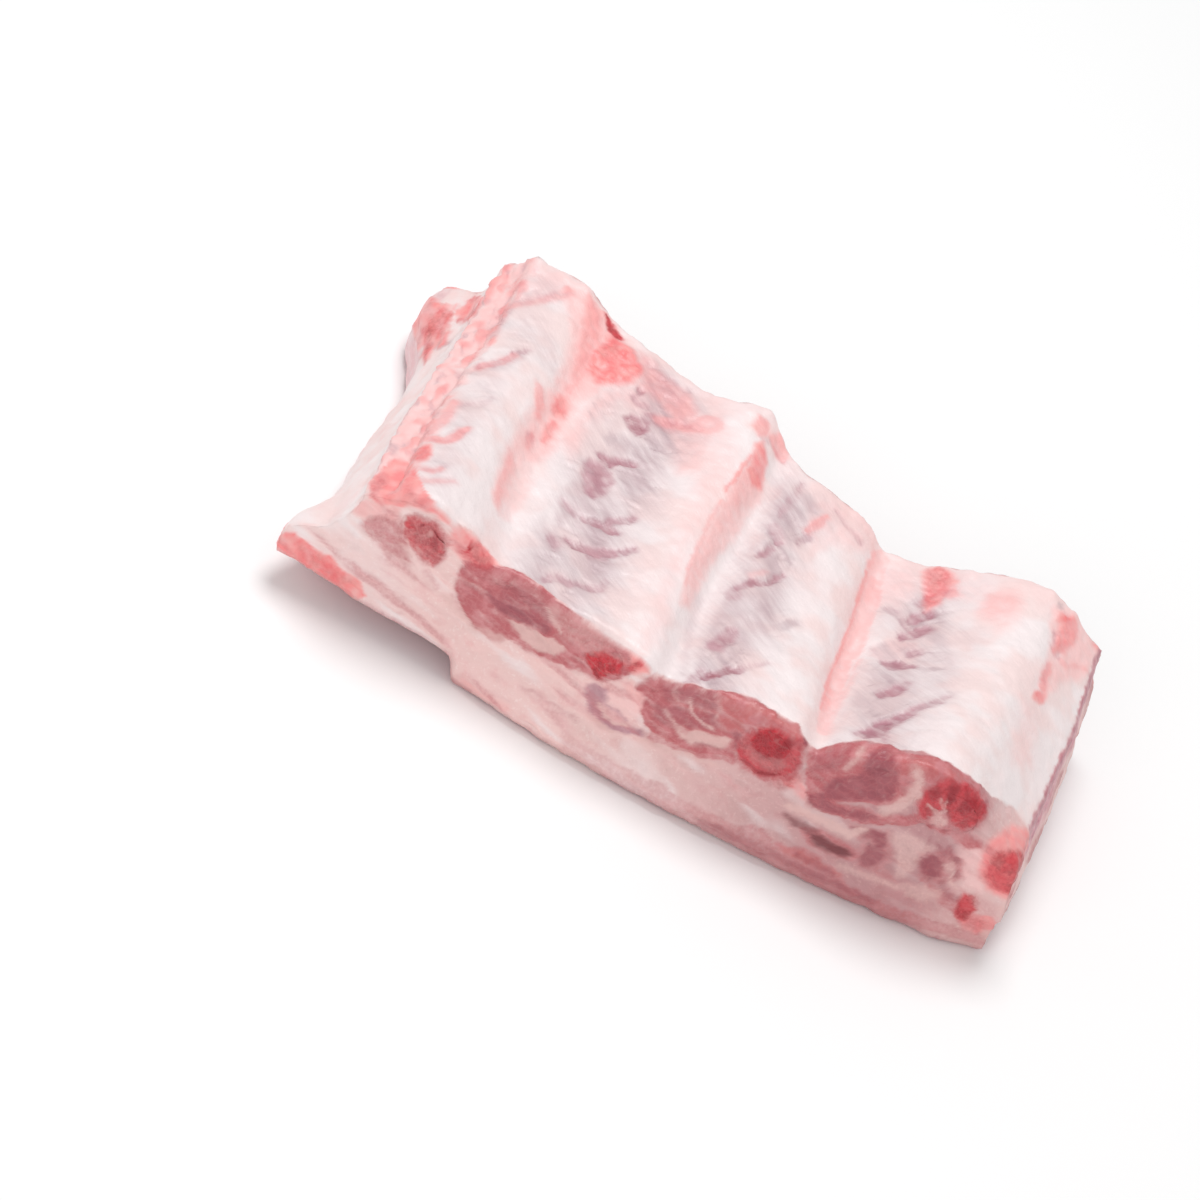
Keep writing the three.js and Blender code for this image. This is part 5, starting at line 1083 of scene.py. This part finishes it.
class Nodes:
    """Small helper that adds shader nodes and links them."""

    def __init__(self, material):
        material.use_nodes = True
        self.tree = material.node_tree
        self.tree.nodes.clear()
        self.place = 0

    def node(self, kind, **settings):
        n = self.tree.nodes.new(kind)
        self.place += 1
        n.location = (200 * (self.place % 12), -200 * (self.place // 12))
        for key, value in settings.items():
            setattr(n, key, value)
        return n

    def put(self, socket, value):
        if isinstance(value, bpy.types.NodeSocket):
            self.tree.links.new(value, socket)
        else:
            socket.default_value = value

    def math(self, op, x, y=None, z=None, cap=False):
        n = self.node("ShaderNodeMath", operation=op, use_clamp=cap)
        for s, v in zip(n.inputs, (x, y, z)):
            if v is not None:
                self.put(s, v)
        return n.outputs[0]

    def mix(self, factor, first, second):
        n = self.node("ShaderNodeMix", data_type="RGBA")
        self.put(n.inputs["Factor"], factor)
        for label, v in (("A", first), ("B", second)):
            s = [q for q in n.inputs if q.name == label and q.type == "RGBA"][0]
            self.put(s, v)
        return [q for q in n.outputs if q.type == "RGBA"][0]

    def attribute(self, label):
        return self.node("ShaderNodeAttribute", attribute_name=label).outputs["Fac"]

    def noise(self, vector, scale, detail=2.0, rough=0.55, distortion=0.0):
        n = self.node("ShaderNodeTexNoise")
        self.put(n.inputs["Vector"], vector)
        n.inputs["Scale"].default_value = scale
        n.inputs["Detail"].default_value = detail
        n.inputs["Roughness"].default_value = rough
        n.inputs["Distortion"].default_value = distortion
        return n.outputs["Fac"]

    def colour_noise(self, vector, scale):
        n = self.node("ShaderNodeTexNoise")
        self.put(n.inputs["Vector"], vector)
        n.inputs["Scale"].default_value = scale
        n.inputs["Detail"].default_value = 1.0
        return n.outputs["Color"]

    def node_add(self, vector, other, amount):
        """vector moved by a noise colour, whose middle is 0.5, times amount."""
        n = self.node("ShaderNodeVectorMath", operation="MULTIPLY_ADD")
        self.put(n.inputs[0], other)
        n.inputs[1].default_value = (amount, amount, amount)
        self.put(n.inputs[2], vector)
        return n.outputs[0]

    def span(self, value, low, high, to_low=0.0, to_high=1.0):
        n = self.node("ShaderNodeMapRange", interpolation_type="SMOOTHSTEP")
        self.put(n.inputs["Value"], value)
        for key, v in (("From Min", low), ("From Max", high), ("To Min", to_low), ("To Max", to_high)):
            n.inputs[key].default_value = v
        return n.outputs["Result"]

    def stretch(self, vector, angle, scale):
        """vector turned by angle and then scaled."""
        n = self.node("ShaderNodeMapping", vector_type="TEXTURE")
        self.put(n.inputs["Vector"], vector)
        n.inputs["Rotation"].default_value = [-v for v in angle]
        n.inputs["Scale"].default_value = [1 / v for v in scale]
        return n.outputs["Vector"]

    def bump(self, height, strength, distance, normal=None):
        n = self.node("ShaderNodeBump")
        n.inputs["Strength"].default_value = strength
        n.inputs["Distance"].default_value = distance
        self.put(n.inputs["Height"], height)
        if normal is not None:
            self.put(n.inputs["Normal"], normal)
        return n.outputs["Normal"]


def col(name):
    return colour(*COLOURS[name])


def flesh(name, roughness_low, roughness_high, coat):
    """Meat, fat and membrane: the masks choose the colours, noise breaks up their edges."""
    mat = bpy.data.materials.new(name)
    s = Nodes(mat)
    vec = s.node("ShaderNodeTexCoord").outputs["Object"]
    big = s.noise(vec, 90, 2)          # about 11 mm
    mid = s.noise(vec, 330, 3)         # about 3 mm
    fine = s.noise(vec, 1100, 3, 0.6)  # about 0.9 mm
    tiny = s.noise(vec, 3200, 2, 0.6)
    fibre = s.noise(s.stretch(vec, (0, 0, math.radians(41.9)), (160, 1700, 300)), 1.0, 3, 0.6)
    grain = s.noise(s.stretch(vec, (0, math.radians(-11), 0), (420, 420, 1500)), 1.0, 2, 0.6)

    def ragged(label, gain=0.6, noise_in=None):
        m = s.attribute(label)
        wild = s.math("SUBTRACT", noise_in if noise_in is not None else fine, 0.5)
        edge = s.math("MULTIPLY", m, s.math("SUBTRACT", 1.0, m))
        return s.math("ADD", m, s.math("MULTIPLY", s.math("MULTIPLY", edge, wild), 4 * gain), cap=True)

    membrane_and_painted_light = s.mix(s.span(big, 0.4, 0.64), col("membrane_and_painted_light"), col("membrane_2"))
    # painted shade: the fat and its flecks turn to their shaded copies towards the right
    fat = s.mix(s.attribute("painted_shade"), col("fat"), col("fat_in_painted_shade"))
    painted_shade_weight = s.attribute("painted_shade")
    fat = s.mix(s.span(mid, 0.5, 0.72, 0.0, 0.5), fat, s.mix(painted_shade_weight, col("fat_fleck"), col("fat_fleck_in_painted_shade")))
    fat = s.mix(s.span(fine, 0.54, 0.7, 0.0, 0.4), fat, s.mix(painted_shade_weight, col("fat_light"), col("fat_light_in_painted_shade")))
    # membrane colour; on the cuts the same mix is painted light
    c = s.mix(ragged("membrane_and_painted_light", 0.6, mid), fat, membrane_and_painted_light)
    c = s.mix(ragged("pink", 0.5, mid), c, col("pink"))
    c = s.mix(ragged("plum", 0.6, mid), c, s.mix(s.span(grain, 0.4, 0.65), col("plum"), col("plum_2")))
    c = s.mix(ragged("grey", 0.5, fibre), c, col("grey"))
    c = s.mix(ragged("mauve", 0.5, fibre), c, s.mix(s.span(mid, 0.42, 0.62), col("mauve"), col("mauve_2")))
    c = s.mix(ragged("salmon", 0.5, mid), c, s.mix(s.span(mid, 0.3, 0.74), col("salmon"), col("salmon_2")))
    meat = s.mix(s.span(mid, 0.42, 0.66), col("muscle"), col("muscle_2"))
    meat = s.mix(s.span(grain, 0.55, 0.72, 0.0, 0.4), meat, col("muscle_2"))
    meat = s.mix(s.span(fine, 0.62, 0.75, 0.0, 0.25), meat, col("muscle_3"))
    cell = s.node("ShaderNodeTexVoronoi", feature="DISTANCE_TO_EDGE")
    s.put(cell.inputs["Vector"], s.node_add(vec, s.colour_noise(vec, 420), 0.0022))
    cell.inputs["Scale"].default_value = 430
    bundle = s.span(cell.outputs["Distance"], 0.0, 0.09, 1.0, 0.0)
    meat = s.mix(s.math("MULTIPLY", bundle, 0.14), meat, col("muscle_3"))
    c = s.mix(ragged("muscle", 0.8), c, meat)
    c = s.mix(ragged("brick", 0.7, mid), c, s.mix(s.span(mid, 0.44, 0.64), col("brick"), col("muscle_2")))
    c = s.mix(ragged("dark", 0.7, mid), c, s.mix(s.math("MULTIPLY", bundle, 0.2), col("dark"), col("muscle")))
    c = s.mix(ragged("deep", 0.7, mid), c, col("deep"))
    wet = s.mix(s.span(s.math("ADD", s.math("MULTIPLY", mid, 0.7), s.math("MULTIPLY", fine, 0.3)), 0.42, 0.62), col("red"), col("red_2"))
    pore = s.node("ShaderNodeTexVoronoi", feature="DISTANCE_TO_EDGE")
    s.put(pore.inputs["Vector"], s.node_add(vec, s.colour_noise(vec, 900), 0.0006))
    pore.inputs["Scale"].default_value = 1150
    wall = s.math("MULTIPLY", s.span(pore.outputs["Distance"], 0.02, 0.2, 1.0, 0.0), s.attribute("spongy"))
    c = s.mix(ragged("red", 0.7), c, wet)
    c = s.mix(ragged("blood", 0.6, mid), c, col("blood"))
    c = s.mix(s.math("MULTIPLY", wall, 0.06), c, col("muscle_3"))
    c = s.mix(ragged("pale", 0.9), c, col("pale"))
    bsdf = s.node("ShaderNodeBsdfPrincipled")
    s.put(bsdf.inputs["Base Color"], c)
    s.put(bsdf.inputs["Roughness"], s.span(s.math("ADD", mid, s.math("MULTIPLY", fine, 0.6)), 0.55, 1.05, roughness_low, roughness_high))
    bsdf.inputs["Specular IOR Level"].default_value = 0.5
    bsdf.inputs["Coat Weight"].default_value = coat
    bsdf.inputs["Coat Roughness"].default_value = 0.28
    rib = s.math("MULTIPLY", fibre, s.attribute("membrane_and_painted_light"))
    body = s.math("ADD", s.math("MULTIPLY", mid, 1.0), s.math("MULTIPLY", fine, 0.45))
    body = s.math("ADD", body, s.math("MULTIPLY", tiny, 0.12))
    body = s.math("ADD", body, s.math("MULTIPLY", wall, 0.2))
    normal = s.bump(body, 0.6, 0.00035)
    normal = s.bump(rib, 0.3, 0.00022, normal)
    s.put(bsdf.inputs["Normal"], normal)
    out = s.node("ShaderNodeOutputMaterial")
    s.tree.links.new(bsdf.outputs[0], out.inputs["Surface"])
    return mat


RIB_SKIN = flesh("rib_meat_look", 0.34, 0.52, 0.12)
FAT_SKIN = flesh("fat_look", 0.38, 0.56, 0.1)
OUTER_SKIN = flesh("outer_meat_look", 0.34, 0.5, 0.12)
BONE_SKIN = flesh("sawn_bone_look", 0.32, 0.5, 0.12)


# ---------- the rib layer, with its membrane ----------
def bone_ring(k, b, t, grow=1.0):
    """A ring of a bone's outline at b, from cut to cut, in fit-frame millimetres."""
    x, z, rx, rz = (float(v) for v in bone_centre(k, np.array(float(b))))
    px = x + grow * rx * np.cos(t)
    py = lerp(front_y(px), back_y(px), b)
    return np.stack([px, py, z + grow * rz * np.sin(t)], -1)


ribs = Layer(RIB_LOW, one, 33)
keep, rims = cut_bores(ribs)
ribs.cap(True)
ribs.cap(False, 3.0)
ribs.finish(keep)
pos, masks, membrane_and_painted_light, painted_shade, rest = skin(*ribs.abc.T)
hidden = ribs.hidden()
TUBE = 48
for k in range(len(BONES)):
    t = 2 * np.pi * np.arange(TUBE) / TUBE
    steps = [0.02, 0.12, 0.3, 0.5, 0.7, 0.88, 0.98]
    rings = []
    for b in steps:
        rings.append(bone_ring(k, b, t, 1.0))
    start = len(pos)
    pos = np.concatenate([pos] + rings)
    grown = len(steps) * TUBE
    masks = np.concatenate([masks, np.tile(np.eye(len(MASKS))[0], (grown, 1))])
    membrane_and_painted_light = np.concatenate([membrane_and_painted_light, np.zeros(grown)])
    painted_shade = np.concatenate([painted_shade, np.zeros(grown)])
    ids = start + np.arange(grown).reshape(len(steps), TUBE)
    for r in range(len(steps) - 1):
        for q in range(TUBE):
            q1 = (q + 1) % TUBE
            ribs.faces.append((ids[r, q], ids[r, q1], ids[r + 1, q1], ids[r + 1, q]))
    # the rims at the two cuts, and the first and last ring of the tube
    for b, ring in ((0, ids[0]), (1, ids[-1])):
        rim, ang, turn = rims[b, k]
        tris = zip_loops(rim, ang, ring, np.mod(turn * t, 2 * np.pi), 2 * np.pi)
        same = (b == 0)
        for f in tris:
            ribs.faces.append(f if (turn > 0) == same else f[::-1])
hidden = np.concatenate([hidden, np.ones(len(ribs.faces) - len(hidden), bool)])
parts = [["ribs_with_membrane", pos, ribs.faces, masks, membrane_and_painted_light, painted_shade, hidden, RIB_SKIN, "rib_meat", "rib_meat"]]

# ---------- the fat layer and the outer muscle ----------
fat = Layer(FAT_LOW, RIB_LOW, 24)
fat.cap(True, 3.0)
fat.cap(False, 3.0)
fat.finish()
pos, masks, membrane_and_painted_light, painted_shade, rest = skin(*fat.abc.T)
parts.append(["fat_under_the_ribs", pos, fat.faces, masks, membrane_and_painted_light, painted_shade, fat.hidden(), FAT_SKIN, "fat_layer", "fat"])

outer = Layer(nought, FAT_LOW, 11)
outer.cap(True, 3.0)
outer.cap(False, 0.85)
outer.finish()
pos, masks, membrane_and_painted_light, painted_shade, rest = skin(*outer.abc.T)
parts.append(["outer_muscle", pos, outer.faces, masks, membrane_and_painted_light, painted_shade, outer.hidden(), OUTER_SKIN, "outer_meat", "outer_meat"])

# the edge that two layers share is lit alike on both sides
sums = [sum_normals(q[1], q[2], q[6]) for q in parts]
for upper, lower, rows in ((0, 1, fat.rows), (1, 2, outer.rows)):
    count = fat.count
    both = sums[upper][:count] + sums[lower][rows * count:(rows + 1) * count]
    sums[upper][:count] = both
    sums[lower][rows * count:(rows + 1) * count] = both
for q, total in zip(parts, sums):
    build(*q, normals=total)


# ---------- the sawn bones ----------
def bone_piece(k):
    """A rib bone. Its sawn ends carry the cut's own marks and relief on, so that the marks run on
    over its edge, with the pores of the marrow in the middle."""
    sides, rings, steps = 96, 26, 30
    t = 2 * np.pi * np.arange(sides) / sides
    pos, masks, veil, spongy, faces, flat = [], [], [], [], [], []

    def count():
        return sum(len(q) for q in pos)

    def end(b):
        sign = -1 if b == 0 else 1
        ids = []
        for r in range(1, rings + 1):
            s = r / rings
            ring = bone_ring(k, b, t, s)
            a, c = unwarp(ring[:, 0], ring[:, 2], b)
            q, m, painted_light_on_end, sh, _ = skin(a, np.full(sides, float(b)), c)
            wide = s + 0.1 * noise(ring, 3.0, 93 + k)
            mid = smooth(0.99, 0.78, wide) * (s < 0.999)
            pore = noise(ring, 0.75, 81 + k)
            q[:, 1] += sign * mid * (0.3 - 0.14 * smooth(0.0, 0.6, pore) + 0.12 * noise(ring, 1.9, 85 + k))
            ids.append(count() + np.arange(sides))
            pos.append(q)
            masks.append(m)
            # the cut's painted light runs onto the bone's rim and fades out towards the marrow
            veil.append(painted_light_on_end * (1 - mid))
            spongy.append(mid)
        ids.append(count() + np.arange(sides))
        lip = bone_ring(k, b, t, 1.02)
        lip[:, 1] = pos[-1][:, 1] - sign * 0.4
        pos.append(lip)
        masks.append(masks[-1])
        veil.append(veil[-1])
        spongy.append(np.zeros(sides))
        mid = count()
        pos.append(pos[-rings - 1].mean(0)[None])
        masks.append(masks[-rings - 1].mean(0)[None])
        veil.append(np.zeros(1))
        spongy.append(np.ones(1))
        for q in range(sides):
            q1 = (q + 1) % sides
            f = (mid, ids[0][q], ids[0][q1])
            faces.append(f if b == 0 else f[::-1])
            flat.append(False)
            for r in range(rings):
                f = (ids[r][q], ids[r + 1][q], ids[r + 1][q1], ids[r][q1])
                faces.append(f if b == 0 else f[::-1])
                flat.append(r == rings - 1)
        return ids[-1]

    first, last = end(0), end(1)
    line = [first]
    for r in range(1, steps):
        line.append(count() + np.arange(sides))
        pos.append(bone_ring(k, r / steps, t, 1.012))
        masks.append(np.tile(0.6 * np.eye(len(MASKS))[M["muscle"]], (sides, 1)))
        veil.append(np.zeros(sides))
        spongy.append(np.zeros(sides))
    line.append(last)
    for r in range(steps):
        for q in range(sides):
            q1 = (q + 1) % sides
            faces.append((line[r][q], line[r + 1][q], line[r + 1][q1], line[r][q1]))
            flat.append(True)
    xyz = np.concatenate(pos)
    # painted shade on the bone ends: darker towards the right, like the fat of the cuts
    build("sawn_bone_%d" % (k + 1), xyz, faces, np.concatenate(masks), np.concatenate(veil), clamp((xyz[:, 0] + 40) / 100),
          np.array(flat), BONE_SKIN, "rib_bone_%d" % (k + 1), "bone", spongy=np.concatenate(spongy))


for k in range(len(BONES)):
    bone_piece(k)


# ---------- floor, light and camera ----------
def floor():
    me = bpy.data.meshes.new("floor")
    s = 4.0
    me.from_pydata([(-s, -s, 0), (s, -s, 0), (s, s, 0), (-s, s, 0)], [], [(0, 1, 2, 3)])
    ob = bpy.data.objects.new("floor", me)
    bpy.context.scene.collection.objects.link(ob)
    mat = bpy.data.materials.new("pale_floor")
    mat.use_nodes = True
    b = mat.node_tree.nodes["Principled BSDF"]
    b.inputs["Base Color"].default_value = (0.97, 0.97, 0.97, 1)
    b.inputs["Roughness"].default_value = 0.9
    b.inputs["Specular IOR Level"].default_value = 0.1
    me.materials.append(mat)


floor()
scene = bpy.context.scene
world = bpy.data.worlds.new("studio")
scene.world = world
world.use_nodes = True
world.node_tree.nodes["Background"].inputs["Color"].default_value = (1.0, 1.0, 1.0, 1)
world.node_tree.nodes["Background"].inputs["Strength"].default_value = 0.5


def area(name, place, target, size, power, tint=(1, 1, 1)):
    data = bpy.data.lights.new(name, "AREA")
    data.shape = "DISK"
    data.size = size
    data.energy = power
    data.color = tint
    ob = bpy.data.objects.new(name, data)
    scene.collection.objects.link(ob)
    z = np.array(place, float) - np.array(target, float)
    z /= np.linalg.norm(z)
    x = np.cross([0, 0, 1], z)
    x /= np.linalg.norm(x)
    y = np.cross(z, x)
    m = Matrix([list(r) + [0] for r in np.stack([x, y, z], 1)] + [[0, 0, 0, 1]])
    m.translation = place
    ob.matrix_world = m
    return ob


area("key", (-0.16, 0.2, 1.1), (0, 0, 0.02), 0.6, 6.6)
area("fill", (-0.2, -1.1, 0.6), (0, 0, 0.02), 0.9, 3.6)

cam = bpy.data.cameras.new("camera")
cam.lens, cam.sensor_width = LENS, 36.0
cam.clip_start, cam.clip_end = 0.05, 50
cam_ob = bpy.data.objects.new("camera", cam)
scene.collection.objects.link(cam_ob)
az, el, roll = (math.radians(v) for v in (AZIMUTH, ELEVATION, ROLL))
back_axis = np.array([math.sin(az) * math.cos(el), -math.cos(az) * math.cos(el), math.sin(el)])
xa = np.cross([0, 0, 1], back_axis)
xa /= np.linalg.norm(xa)
ya = np.cross(back_axis, xa)
cx, cy = xa * math.cos(roll) + ya * math.sin(roll), -xa * math.sin(roll) + ya * math.cos(roll)
m = Matrix([list(r) + [0] for r in np.stack([cx, cy, back_axis], 1)] + [[0, 0, 0, 1]])
m.translation = (EYE - CENTRE) / 1000
cam_ob.matrix_world = m
scene.camera = cam_ob
scene.view_settings.view_transform = "Standard"
scene.view_settings.look = "None"
scene.view_settings.exposure = 0.0
scene.view_settings.gamma = 1.0
